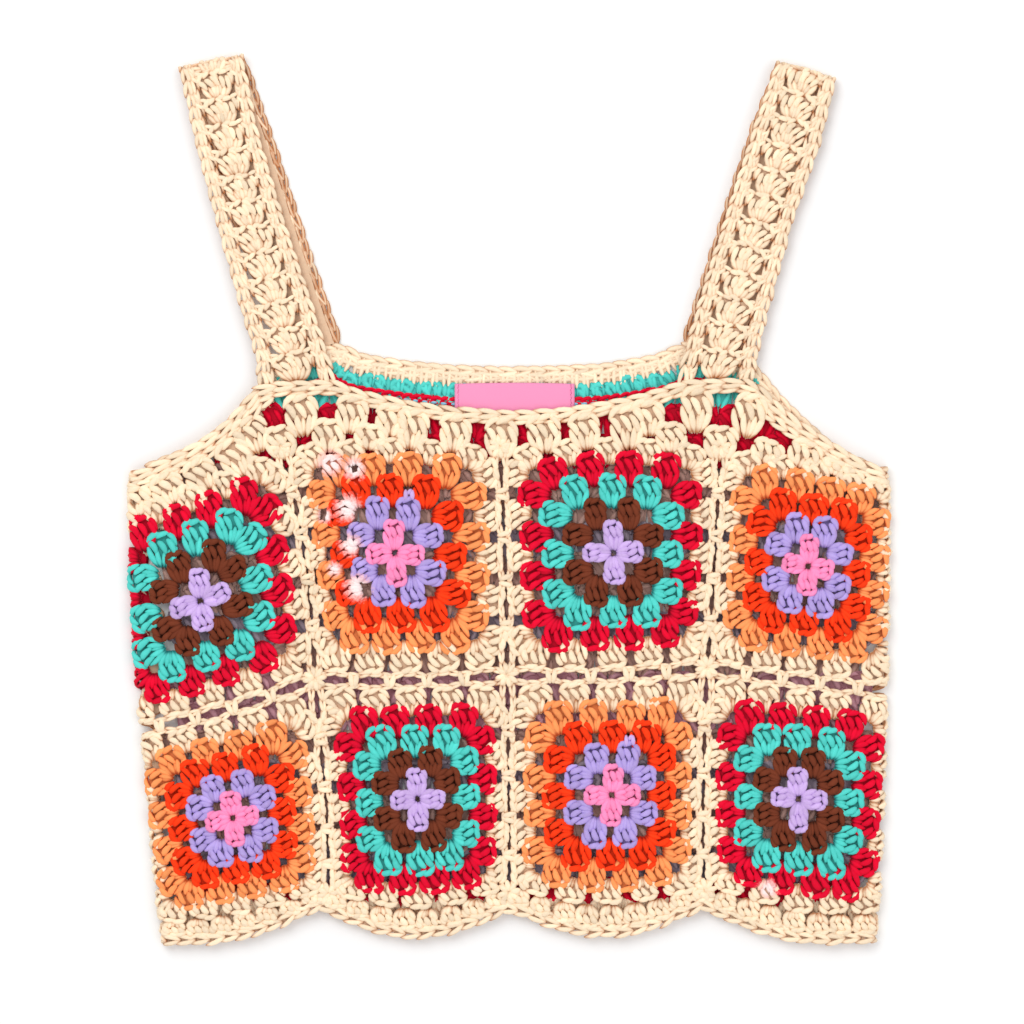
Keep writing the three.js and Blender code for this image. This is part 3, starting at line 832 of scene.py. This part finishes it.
GRANNY_ROUNDS = (
    GrannyRound(0.280, 0.025, 0.000, 5.6),
    GrannyRound(0.472, 0.190, 0.330, 6.8),
    GrannyRound(0.675, 0.375, 0.350, 7.9),
    GrannyRound(0.860, 0.555, 0.362, 8.1),
    GrannyRound(0.975, 0.745, 0.384, 8.6),
)
# How far the corner groups' feet draw in, the height of each round over the next one out, and how far
# the rounds reach towards the hem, towards the middle seam, and towards it in the last round's heads.
CORNER_DRAW = 0.92
ROUND_STEP = 0.25
LOWER_REACH = 0.95
SEAM_REACH = 0.93
SEAM_HEAD_REACH = 0.965


@dataclass(frozen=True)
class GrannySquare:
    """A square of five rounds: round k has k groups of double crochets on each side."""

    column: int
    row: int

    @property
    def node(self) -> str:
        """The square's node."""
        return f"square_{('upper', 'lower')[self.row]}_{self.column + 1}"

    def lay(self, skein: Skein) -> None:
        """Lays the five rounds.

        Round k has k groups a side, evenly spaced and square to it. Each group's foot lies between two
        groups of the round before, and the outer groups of two sides share a corner.
        """
        palette = SQUARE_PALETTES[(self.column + self.row) % 2]
        for number, (size, yarn) in enumerate(zip(GRANNY_ROUNDS, palette), start=1):
            side, step = (a.ravel() for a in np.meshgrid(np.arange(4), np.arange(number), indexing="ij"))
            beside = size.pitch * (step - (number - 1) / 2)
            turn = side * math.pi / 2
            ends = []
            for out, draw in ((size.foot, CORNER_DRAW), (size.head, 1.0)):
                p = beside * draw * np.cos(turn) + out * np.sin(turn)
                q = out * np.cos(turn) - beside * draw * np.sin(turn)
                seam = SEAM_REACH if out < GRANNY_ROUNDS[-1].head else SEAM_HEAD_REACH
                q = q * np.where(q < 0, (seam, LOWER_REACH)[self.row], (1.0, seam)[self.row])
                ends.append(on_square(self.column, self.row, p, q))
            skein.add(DOUBLE_CROCHETS, *ends, size.half_width, yarn, fold_under, pad=True,
                      lift=ROUND_STEP * (len(GRANNY_ROUNDS) - number))

    def build(self) -> None:
        skein = Skein(self.node, 100 + 10 * self.row + self.column)
        self.lay(skein)
        slot = ("crimson_square_yarn", "orange_square_yarn")[(self.column + self.row) % 2]
        Cloth(self.node, slot, (0.110, 0.125), ("back_panel_ground",)).declare(skein)


@dataclass(frozen=True)
class Joins:
    """The cream edges of the squares and the stitches that join them."""

    chain_pitch: float = 6.2
    bar_reach: float = 2.4
    bar_apart: float = 0.014
    bar_slant: float = 60.0
    star_arms: int = 8
    star_reach: float = 6.5

    def lay_seam(self, skein: Skein, point: Callable[[Array], Array], gap: float, bow: float) -> None:
        """Lays one seam: a chain on each side that bows away before each group, and bars at the joins.

        Args:
            skein: the piece.
            point: the seam's points at s from 0 to 1.
            gap: half the distance between the chains at a join.
            bow: how much further each chain stands off before a group.
        """
        joins = (1 + GRANNY_ROUNDS[-1].pitch * np.array([-2.6, -1.5, -0.5, 0.5, 1.5, 2.6])) / 2
        s = np.linspace(0, 1, 81)
        line = point(s)
        phase = np.interp(s, joins, np.arange(len(joins)))
        forward = np.gradient(line, axis=0)
        forward /= np.linalg.norm(forward, axis=1, keepdims=True)
        normal = np.stack([-forward[:, 1], forward[:, 0]], axis=1)
        for side in (-1, 1):
            away = side * (gap + bow * np.abs(np.sin(math.pi * phase)) ** 0.7)
            add_chain(skein, line + away[:, None] * normal, self.chain_pitch, 1.2, fold_under,
                      swell=0.85)
        inner = joins[1:-1]
        for shift in (-self.bar_apart, self.bar_apart):
            middle = point(inner + shift)
            ahead = point(inner + shift + 0.01) - middle
            ahead /= np.linalg.norm(ahead, axis=1, keepdims=True)
            reach = (gap + self.bar_reach) * np.stack([-ahead[:, 1], ahead[:, 0]], axis=1)
            reach = reach + ahead * shift * self.bar_slant
            skein.add(BAR, middle - reach, middle + reach, 1.0, Yarn.CREAM, fold_under, lift=0.6,
                      swell=1.5)

    def lay_star(self, skein: Skein, centre: Array) -> None:
        """Lays the star of strands where four squares meet."""
        angle = np.arange(self.star_arms) * math.pi / 4 + 0.2
        out = np.stack([np.cos(angle), np.sin(angle)], axis=1)
        skein.add(BAR, centre + out * 0.6, centre + out * self.star_reach, 1.0, Yarn.CREAM, fold_under,
                  lift=0.2, swell=1.5)

    def build(self) -> None:
        """Makes the seams and stars."""
        skein = Skein("square_joins", 200)
        for row in (0, 1):
            for column in range(1, SQUARES_ACROSS):
                upright = lambda s: on_square(column, row, np.full_like(s, -1.0), 1 - 2 * s)
                self.lay_seam(skein, upright, gap=1.2, bow=1.8)
        for column in range(SQUARES_ACROSS):
            level = lambda s: on_square(column, 1, 2 * s - 1, np.full_like(s, 1.0))
            self.lay_seam(skein, level, gap=1.4, bow=2.5)
        for x, y in LILAC_ENDS:
            ends = np.array([[x - 1.5, y - 2.5], [x + 2.0, y - 2.0], [x - 0.5, y + 1.0]])
            tips = ends + np.array([[0.0, 6.0], [-0.5, 5.5], [2.0, 2.5]])
            skein.add(BAR, ends, tips, 1.0, Yarn.LILAC, fold_under, lift=1.5, swell=1.2)
        for column in range(1, SQUARES_ACROSS):
            for row, q in ((0, 1.0), (1, 1.0), (1, -1.0)):
                self.lay_star(skein, on_square(column, row, np.array(-1.0), np.array(q)))
        piece = skein.yarn_piece()
        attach(piece, "root")
        log.info("joins: %d triangles", sum(len(p.vertices) - 2 for p in piece.data.polygons))


# ---- Band, hem, back and straps -----------------------------------------------------------------


def squares_line(row: int, q: float, t: Array) -> Array:
    """Points on a line of four squares at height q, at each of the places t across each square."""
    return np.concatenate([on_square(c, row, t, np.full_like(t, q)) for c in range(SQUARES_ACROSS)])


def slope_normal(edge: Callable[[Array], Array], x: Array, reach: float) -> Array:
    """The upward normal of an edge y = edge(x), from its mean slope over 2 reach."""
    slope = (edge(x + reach) - edge(x - reach)) / (2 * reach)
    return np.stack([-slope, np.ones_like(slope)], axis=-1) / np.sqrt(1 + slope ** 2)[..., None]


@dataclass(frozen=True)
class FrontBand:
    """The rows between the squares and the neck and armholes, with a plaited edge."""

    row_depth: float = 13.0
    edge_depth: float = 5.0
    armhole_depth: float = 8.0
    armhole_from: float = 105.0
    feet_at: float = 0.87
    group_half_width: float = 9.6
    least_room: float = 6.0

    def lay_rows(self, skein: Skein) -> None:
        """Lays one or two rows of groups, as many as fit between the squares and the edge."""
        between = GRANNY_ROUNDS[-1].pitch
        top = squares_line(0, 1.0, np.linspace(-1, 1, 21))
        offsets = (np.array([-1.0, -1.5 * between, -0.5 * between, 0.5 * between, 1.5 * between]),
                   np.array([-2.06 * between, -between, 0.0, between, 2.06 * between]))
        for level, t in enumerate(offsets):
            foot = squares_line(0, self.feet_at, t)
            way = slope_normal(front_edge, foot[:, 0], 18.0)
            way += slope_normal(lambda x: np.interp(x, top[:, 0], top[:, 1]), foot[:, 0], 14.0)
            way /= np.linalg.norm(way, axis=1, keepdims=True)
            tries = np.arange(0, 60, 0.5)
            reached = foot[:, None] + tries[:, None] * way[:, None]
            room = tries[np.argmax(reached[..., 1] > front_edge(reached[..., 0]), axis=1)]
            room -= np.where(np.abs(foot[:, 0]) > self.armhole_from, self.armhole_depth, self.edge_depth)
            rows = np.where(room > (1.75 - 0.15 * level) * self.row_depth, 2, 1)
            step = room / rows
            fits = (rows > level) & (room > self.least_room)
            feet = foot + way * (level * step - 5.0 * (level > 0))[:, None]
            heads = foot + way * ((level + 1) * step + 1.2)[:, None]
            skein.add(DOUBLE_CROCHETS, feet[fits], heads[fits], self.group_half_width, Yarn.CREAM,
                      fold_under, pad=True, lift=0.3, swell=1.15)

    def lay_edge(self, skein: Skein) -> None:
        """Lays the plaited edge along the neck and armholes, deeper at the armholes."""
        line = walk(FRONT_EDGE, 4.0)
        skein.back_up(aside(line, -7.0)[::2], aside(line, -1.0)[::2], 4.0, Yarn.CREAM, fold_under)
        add_chain(skein, aside(line, -2.1), 10.0, 2.1, fold_under, swell=1.25)
        add_chain(skein, aside(line, -4.9)[2:-2], 8.6, 1.8, fold_under, lift=-0.3, swell=1.15)
        for part in (line[line[:, 0] < -124], line[line[:, 0] > 122]):
            add_chain(skein, aside(part, -8.0), 8.0, 2.0, fold_under, swell=1.1)

    def build(self) -> None:
        skein = Skein("front_band", 300)
        self.lay_rows(skein)
        self.lay_edge(skein)
        Cloth("front_band", "cream_yarn", (0.450, 0.035), ("back_panel_ground",)).declare(skein)


@dataclass(frozen=True)
class Hem:
    """The scalloped edging: short groups below the squares and a plaited edge with small bumps."""

    front: bool
    pitch: float = 12.5

    def build(self) -> None:
        name = "front_hem" if self.front else "back_hem"
        place = fold_under if self.front else on_back
        flat = 1.0 if self.front else 0.2
        skein = Skein(name, 400 + self.front, both_faces=not self.front)
        if self.front:
            line = walk(squares_line(1, -0.955, np.linspace(-1, 1, 17)), self.pitch)
        else:
            ends = [underside_seam(side, np.array([BACK_HEM_TOP]))[0] for side in (-1, 1)]
            line = walk(np.array([[ends[0] + 5, BACK_HEM_TOP], [ends[1] - 5, BACK_HEM_TOP]]), self.pitch)
        inset = 3.4 if self.front else 5.4
        heads = np.stack([line[:, 0], hem_edge(line[:, 0]) + inset], axis=1)
        feet = line + np.array([0, 1.5])
        skein.add(DOUBLE_CROCHETS, feet, heads, 6.4, Yarn.CREAM, place, pad=True, flat=flat)
        x = np.linspace(line[0, 0], line[-1, 0], 160)
        bumps = 1.8 * np.abs(np.sin(math.pi * (x - x[0]) / self.pitch))
        edge = np.stack([x, hem_edge(x) + inset - 0.9 - bumps], axis=1)
        skein.back_up(edge[::4] - [0, 1], edge[::4] + [0, 5], 5.0, Yarn.CREAM, place)
        add_chain(skein, edge, 8.0, 2.4, place, swell=1.15, flat=flat)
        add_chain(skein, edge + np.array([0, 3.4]), 7.0, 2.0, place, lift=-0.2, flat=flat)
        beneath = ("back_hem_ground",) if self.front else ()
        Cloth(name, "cream_yarn", (0.40, 0.020), beneath).declare(skein)


BACK_STRIPES = (
    Yarn.TEAL, Yarn.CRIMSON, Yarn.CRIMSON, Yarn.TAUPE, Yarn.TAUPE, Yarn.SLATE, Yarn.TAUPE, Yarn.TAUPE,
    Yarn.SLATE, Yarn.TAUPE, Yarn.MAUVE, Yarn.MAUVE, Yarn.TAUPE, Yarn.SLATE, Yarn.TAUPE, Yarn.TAUPE,
    Yarn.SLATE, Yarn.CRIMSON,
)


@dataclass(frozen=True)
class Back:
    """The back: cross rows of groups in stripes, and the cream trim above them."""

    row_pitch: float = 15.6
    group_pitch: float = 15.2
    first_depth: float = 4.2

    def build_panel(self) -> None:
        """Makes the striped panel, each row's groups standing over the gaps of the row below."""
        skein = Skein("back_panel", 500, both_faces=True)
        top = float(BACK_EDGE[:, 1].max()) - TRIM_DEPTH
        self.lay_first_rows(skein)
        for number, yarn in enumerate(BACK_STRIPES):
            head_y = top - 5.0 - number * self.row_pitch
            foot_y = max(head_y - self.row_pitch - 2.5, BACK_HEM_TOP - 1)
            middle = np.array([(head_y + foot_y) / 2])
            left, right = (underside_seam(side, middle)[0] for side in (-1, 1))
            count = round((right - left) / self.group_pitch)
            x = left + (right - left) * (np.arange(count) + 0.5 + 0.5 * (number % 2)) / count
            x = x[x < right - 3]
            head = np.minimum(head_y, back_edge(x) - TRIM_DEPTH + 2.5)
            fits = head - foot_y > 7
            feet = np.stack([x, np.full_like(x, foot_y)], axis=1)[fits]
            heads = np.stack([x, head], axis=1)[fits]
            skein.add(SMALL_CLUSTER, feet, heads, 7.4, yarn, on_back, flat=0.2, swell=1.2)
            skein.back_up(heads - [0, self.row_pitch], heads, (right - left) / count / 2, yarn, on_back)
        Cloth("back_panel", "striped_back_yarn", (0.384, 0.29)).declare(skein)

    def lay_first_rows(self, skein: Skein) -> None:
        """Lays the close rows under the neck: teal posts, and a crimson chain with pale blue stitches."""
        edge = walk(BACK_EDGE, 4.8)
        normal = edge - aside(edge, -1.0)
        near = np.abs(edge[:, 0]) < 122
        edge, normal = edge[near], normal[near]
        feet = edge - normal * (TRIM_DEPTH + self.first_depth)
        skein.add(POST, feet, edge - normal * (TRIM_DEPTH - 2.2), 3.0, Yarn.TEAL, on_back, pad=True,
                  flat=0.3, loose=1.8, swell=1.35)
        inside = lambda xy, lift: on_back(xy, -lift)
        below = edge - normal * (TRIM_DEPTH + self.first_depth + 2.6)
        add_chain(skein, below[::-1], 5.0, 1.9, inside, Yarn.CRIMSON, flat=0.5, lift=0.4)
        middle, out = below[1:-1:2], normal[1:-1:2] * 3
        skein.back_up(middle - out, middle + out, 5.0, Yarn.CRIMSON, on_back)
        dashes = edge - normal * (TRIM_DEPTH + self.first_depth + 4.0)
        skein.add(BAR, dashes[:-1], dashes[:-1] + 0.6 * np.diff(dashes, axis=0), 1.0, Yarn.BLUE, inside,
                  flat=0.6, lift=1.3, swell=0.8)

    def build_trim(self) -> None:
        """Makes the cream trim: short posts and a plaited edge."""
        skein = Skein("back_trim", 510, both_faces=True)
        line = walk(BACK_EDGE, 4.0)
        add_chain(skein, aside(line, -5.6), 8.4, 2.0, on_back, flat=0.25, swell=1.35)
        add_chain(skein, aside(line, -2.4), 7.6, 2.2, on_back, flat=0.25, swell=1.45)
        foot = walk(BACK_EDGE, 6.0)
        normal = aside(foot, -1.0) - foot
        skein.add(POST, foot + normal * 11.8, foot + normal * 1.6, 3.6, Yarn.CREAM, on_back, pad=True,
                  flat=0.2, swell=1.3)
        Cloth("back_trim", "cream_yarn", (0.43, 0.012)).declare(skein)


# Columns armhole x, armhole y, neck x and neck y: cross rows, up the front and down the back.
STRAP_ROWS = {
    "strap_left": (
        np.array([[-131.5, 60, -91, 61.5], [-132.5, 74, -97, 80.5], [-140, 98, -105.5, 107.5],
                  [-152, 140.5, -119, 147.5], [-164, 186, -132, 191.5], [-173, 227, -140.5, 233.5]]),
        np.array([[-172.5, 225, -139, 232], [-155.5, 177.5, -123, 186], [-140.5, 133, -108.5, 141.5],
                  [-129.5, 100, -97.5, 108.5], [-120.5, 75, -88, 82]]),
    ),
    "strap_right": (
        np.array([[128.5, 63, 88.5, 61], [130.5, 76.5, 94.5, 84], [137, 102.5, 102.5, 111.5],
                  [148.5, 145, 116, 154], [162.5, 184, 128.5, 193], [171.5, 221, 141.5, 230]]),
        np.array([[171, 220, 141, 229], [160.5, 184, 127, 193], [147, 145, 114, 154],
                  [134.5, 102.5, 100.5, 111.5], [124, 75, 91, 82]]),
    ),
}


@dataclass(frozen=True)
class Strap:
    """A strap: shells of two groups up its middle, long holes beside them and plaited edges."""

    node: str
    row_pitch: float = 14.1
    half_width: float = 16.5

    def lengths(self) -> tuple[Array, Array]:
        """The distance along the middle of the front rows, and of the back rows."""
        found = []
        for rows in STRAP_ROWS[self.node]:
            middle = (rows[:, :2] + rows[:, 2:]) / 2
            steps = np.linalg.norm(np.diff(middle, axis=0), axis=1)
            found.append(np.concatenate(([0], np.cumsum(steps))))
        return found[0], found[1]

    def place(self, uv: Array, lift: Array) -> Array:
        """Lays points of the strap: up the front, round the shoulder and down the back.

        Args:
            uv: u from -1 at the armhole to 1 at the neck, and v in mm along the strap from the front.
            lift: distances off the middle of the cloth, outwards.

        Returns:
            Points x, y, z.
        """
        front, back = STRAP_ROWS[self.node]
        front_at, back_at = self.lengths()
        u, v = uv[..., 0], uv[..., 1]
        turn_at = front_at[-1] - MID_HEIGHT
        beyond = v - turn_at
        angle = np.clip(beyond / FOLD_RADIUS, 0, math.pi)
        radius = FOLD_RADIUS + lift
        down = np.maximum(beyond - BEND_LENGTH, 0) + MID_HEIGHT
        ends = []
        for i in range(4):
            up = np.interp(np.minimum(v, turn_at), front_at, front[:, i])
            up = np.where(v < 0, front[0, i] + (front[1, i] - front[0, i]) / front_at[1] * v, up)
            ends.append(np.where(beyond > BEND_LENGTH, np.interp(down, back_at, back[:, i]), up))
        share = (u + 1) / 2
        x = ends[0] + (ends[2] - ends[0]) * share
        y = ends[1] + (ends[3] - ends[1]) * share
        axis = (front[-1, :2] + front[-1, 2:] - front[-2, :2] - front[-2, 2:]) / 2
        axis = axis / np.linalg.norm(axis)
        stand = radius * np.sin(angle)
        z = MID_HEIGHT + radius * np.cos(angle)
        return np.stack([x + axis[0] * stand, y + axis[1] * stand, z], axis=-1)

    def build(self) -> None:
        skein = Skein(self.node, 600 + len(self.node))

        def laid(points: Array, lift: Array) -> Array:
            """Lays points whose u is in millimetres from the strap's middle."""
            return self.place(points / np.array([self.half_width, 1.0]), lift)

        front_at, back_at = self.lengths()
        total = front_at[-1] + back_at[-1] - 2 * MID_HEIGHT + BEND_LENGTH
        rows = round(total / self.row_pitch)
        pitch = total / rows
        v = (np.arange(rows) + 0.1) * pitch
        wave = np.linspace(0.0, total, 8 * rows)
        for side in (-1, 1):
            point = lambda u, along: np.stack([np.full(rows, side * u), v + along * pitch], axis=1)
            skein.add(DOUBLE_CROCHETS, point(0.6, -0.05), point(4.8, 1.08), 5.9, Yarn.CREAM, laid, pad=True,
                      swell=0.92)
            skein.add(POST, point(10.3, 0.45), point(11.0, 1.15), 2.4, Yarn.CREAM, laid, pad=True,
                      swell=0.95)
            skein.add(POST, point(11.6, -0.15), point(10.9, 0.5), 2.0, Yarn.CREAM, laid, swell=0.95)
            skein.add(BAR, point(5.5, 0.98), point(10.5, 1.10), 1.0, Yarn.CREAM, laid, swell=1.1)
            skein.add(BAR, point(7.0, 0.72), point(10.5, 0.86), 1.0, Yarn.CREAM, laid)
            behind = v > front_at[-1]
            skein.back_up(point(8.0, -0.2)[behind], point(8.0, 1.1)[behind], 4.6, Yarn.CREAM, laid)
            for depth, width, thick in ((14.2, 1.9, 1.05), (12.0, 1.5, 0.9)):
                bump = side * (depth + 0.8 * np.abs(np.sin(math.pi * wave / pitch)))
                add_chain(skein, np.stack([bump, wave], axis=1), pitch / 2, width, laid, swell=thick)
        for beyond in (-0.2, 0.5, 1.2):
            across = front_at[-1] - MID_HEIGHT + beyond * BEND_LENGTH
            add_chain(skein, np.array([[-11.0, across], [11.0, across]]), 5.5, 1.6, laid, lift=-0.4)
        cut = (0.035, total * MM)
        Cloth(self.node, "cream_yarn", cut, ("front_band_ground",), "folded").declare(skein)


# ---- Label --------------------------------------------------------------------------------------


@dataclass(frozen=True)
class NeckLabel:
    """A bare satin ribbon label, sewn down at its two short sides."""

    left: float = -28.5
    right: float = 34.5
    bottom: float = 43.5
    top: float = 60.0
    base: float = 3.3
    thickness: float = 0.35

    def satin(self) -> bpy.types.Material:
        """The label's pink satin: fine cross threads in colour and bump."""
        material = bpy.data.materials.new("label_satin")
        material.use_nodes = True
        tree = material.node_tree
        shader = tree.nodes["Principled BSDF"]
        coordinates = tree.nodes.new("ShaderNodeTexCoord")
        wave = tree.nodes.new("ShaderNodeTexWave")
        wave.bands_direction = "Y"
        wave.inputs["Scale"].default_value = 900.0
        wave.inputs["Distortion"].default_value = 1.0
        tree.links.new(coordinates.outputs["Object"], wave.inputs["Vector"])
        ramp = tree.nodes.new("ShaderNodeMix")
        ramp.data_type = "RGBA"
        ramp.inputs[6].default_value = linear(238, 128, 178)
        ramp.inputs[7].default_value = linear(250, 158, 197)
        tree.links.new(wave.outputs["Fac"], ramp.inputs["Factor"])
        tree.links.new(ramp.outputs[2], shader.inputs["Base Color"])
        bump = tree.nodes.new("ShaderNodeBump")
        bump.inputs["Distance"].default_value = 0.00005
        bump.inputs["Strength"].default_value = 0.4
        tree.links.new(wave.outputs["Fac"], bump.inputs["Height"])
        tree.links.new(bump.outputs["Normal"], shader.inputs["Normal"])
        shader.inputs["Roughness"].default_value = 0.42
        shader.inputs["Sheen Weight"].default_value = 0.3
        return material

    def build(self) -> None:
        """Makes the ribbon, a wall over a grid bowed up between its sewn sides, and its stitches."""
        columns, rows = 48, 12
        u, v = np.meshgrid(np.linspace(0, 1, columns + 1), np.linspace(0, 1, rows + 1), indexing="ij")
        x = self.left + (self.right - self.left) * u
        y = self.bottom + (self.top - self.bottom) * v + 0.5 * np.sin(math.pi * u)
        z = self.base + 0.35 * np.sin(math.pi * u) ** 2 + 0.12 * np.sin(9 * u + 2 * v)
        layers = [np.stack([x, y, z + d], axis=-1).reshape(-1, 3) for d in (self.thickness, 0.0)]
        vertices = np.concatenate(layers)
        i, j = (a.ravel() for a in np.meshgrid(np.arange(columns), np.arange(rows), indexing="ij"))
        at = lambda i, j, k: k * (columns + 1) * (rows + 1) + i * (rows + 1) + j
        quads = [np.stack([at(i, j, 0), at(i + 1, j, 0), at(i + 1, j + 1, 0), at(i, j + 1, 0)], 1),
                 np.stack([at(i, j, 1), at(i, j + 1, 1), at(i + 1, j + 1, 1), at(i + 1, j, 1)], 1)]
        i, j = np.arange(columns), np.arange(rows)
        zi, zj = np.zeros_like(i), np.zeros_like(j)
        quads += [np.stack([at(i, zi, 1), at(i + 1, zi, 1), at(i + 1, zi, 0), at(i, zi, 0)], 1),
                  np.stack([at(i, zi + rows, 0), at(i + 1, zi + rows, 0), at(i + 1, zi + rows, 1),
                            at(i, zi + rows, 1)], 1),
                  np.stack([at(zj, j, 0), at(zj, j + 1, 0), at(zj, j + 1, 1), at(zj, j, 1)], 1),
                  np.stack([at(zj + columns, j, 1), at(zj + columns, j + 1, 1), at(zj + columns, j + 1, 0),
                            at(zj + columns, j, 0)], 1)]
        faces = np.concatenate(quads)
        ribbon = make_object("neck_label_ribbon", vertices, [faces], [np.zeros(len(faces), int)])
        ribbon.data.materials.clear()
        ribbon.data.materials.append(self.satin())
        thread = Skein("neck_label", 700)
        count = 6
        for x_at, way in ((self.left + 1.6, 1), (self.right - 1.6, -1)):
            y_at = np.linspace(self.bottom + 2, self.top - 1.5, count)
            feet = np.stack([np.full(count, x_at), y_at - 1.2], axis=1)
            heads = feet + np.array([0.5 * way, 2.4])
            lay = lambda xy, lift: np.stack([xy[..., 0], xy[..., 1], self.base + 0.35 + lift * 0.15], axis=-1)
            thread.add(BAR, feet, heads, 0.3, Yarn.PINK, lay, swell=0.28, loose=0.5)
        stitches = thread.yarn_piece()
        for piece in (ribbon, stitches):
            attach(piece, "root")
        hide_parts("neck_label")


# ---- Studio -------------------------------------------------------------------------------------


@dataclass(frozen=True)
class Studio:
    """A pale floor, even soft light and a camera that looks straight down."""

    frame_width: float = 0.5389
    centre: tuple[float, float] = (0.0016, -0.0074)
    camera_height: float = 2.2
    sensor: float = 36.0

    def build(self) -> None:
        """Makes the floor, the lights and the camera."""
        bpy.ops.mesh.primitive_plane_add(size=8, location=(0, 0, -0.0002))
        floor = bpy.context.object
        floor.name = "floor"
        material = bpy.data.materials.new("floor_paper")
        material.use_nodes = True
        shader = material.node_tree.nodes["Principled BSDF"]
        shader.inputs["Base Color"].default_value = (0.93, 0.93, 0.93, 1)
        shader.inputs["Roughness"].default_value = 0.9
        floor.data.materials.append(material)

        world = bpy.data.worlds.new("studio")
        world.use_nodes = True
        world.node_tree.nodes["Background"].inputs["Color"].default_value = (1, 1, 1, 1)
        world.node_tree.nodes["Background"].inputs["Strength"].default_value = 0.75
        bpy.context.scene.world = world
        lamps = (("key", (-0.7, 0.9, 1.6), 1.2, 14.0), ("fill", (0.9, -0.5, 1.5), 1.6, 7.0))
        for name, place, size, power in lamps:
            lamp = bpy.data.lights.new(name, "AREA")
            lamp.size = size
            lamp.energy = power
            holder = bpy.data.objects.new(name, lamp)
            holder.location = place
            away = np.array(place) / np.linalg.norm(place)
            holder.rotation_euler = (math.acos(away[2]), 0, math.atan2(away[1], away[0]) + math.pi / 2)
            bpy.context.collection.objects.link(holder)

        camera = bpy.data.cameras.new("camera")
        camera.sensor_width = self.sensor
        camera.lens = self.sensor * self.camera_height / self.frame_width
        viewer = bpy.data.objects.new("camera", camera)
        viewer.location = (*self.centre, self.camera_height)
        bpy.context.collection.objects.link(viewer)
        bpy.context.scene.camera = viewer
        bpy.context.scene.view_settings.view_transform = "Standard"


def main() -> None:
    """Builds every piece of the top in order, then the studio."""
    logging.basicConfig(level=logging.INFO, format="%(name)s: %(message)s")
    back = Back()
    back.build_panel()
    back.build_trim()
    Hem(front=False).build()
    for row in (0, 1):
        for column in range(SQUARES_ACROSS):
            GrannySquare(column, row).build()
    FrontBand().build()
    Hem(front=True).build()
    Joins().build()
    for node in STRAP_ROWS:
        Strap(node).build()
    NeckLabel().build()
    Studio().build()


if __name__ == "__main__":
    main()
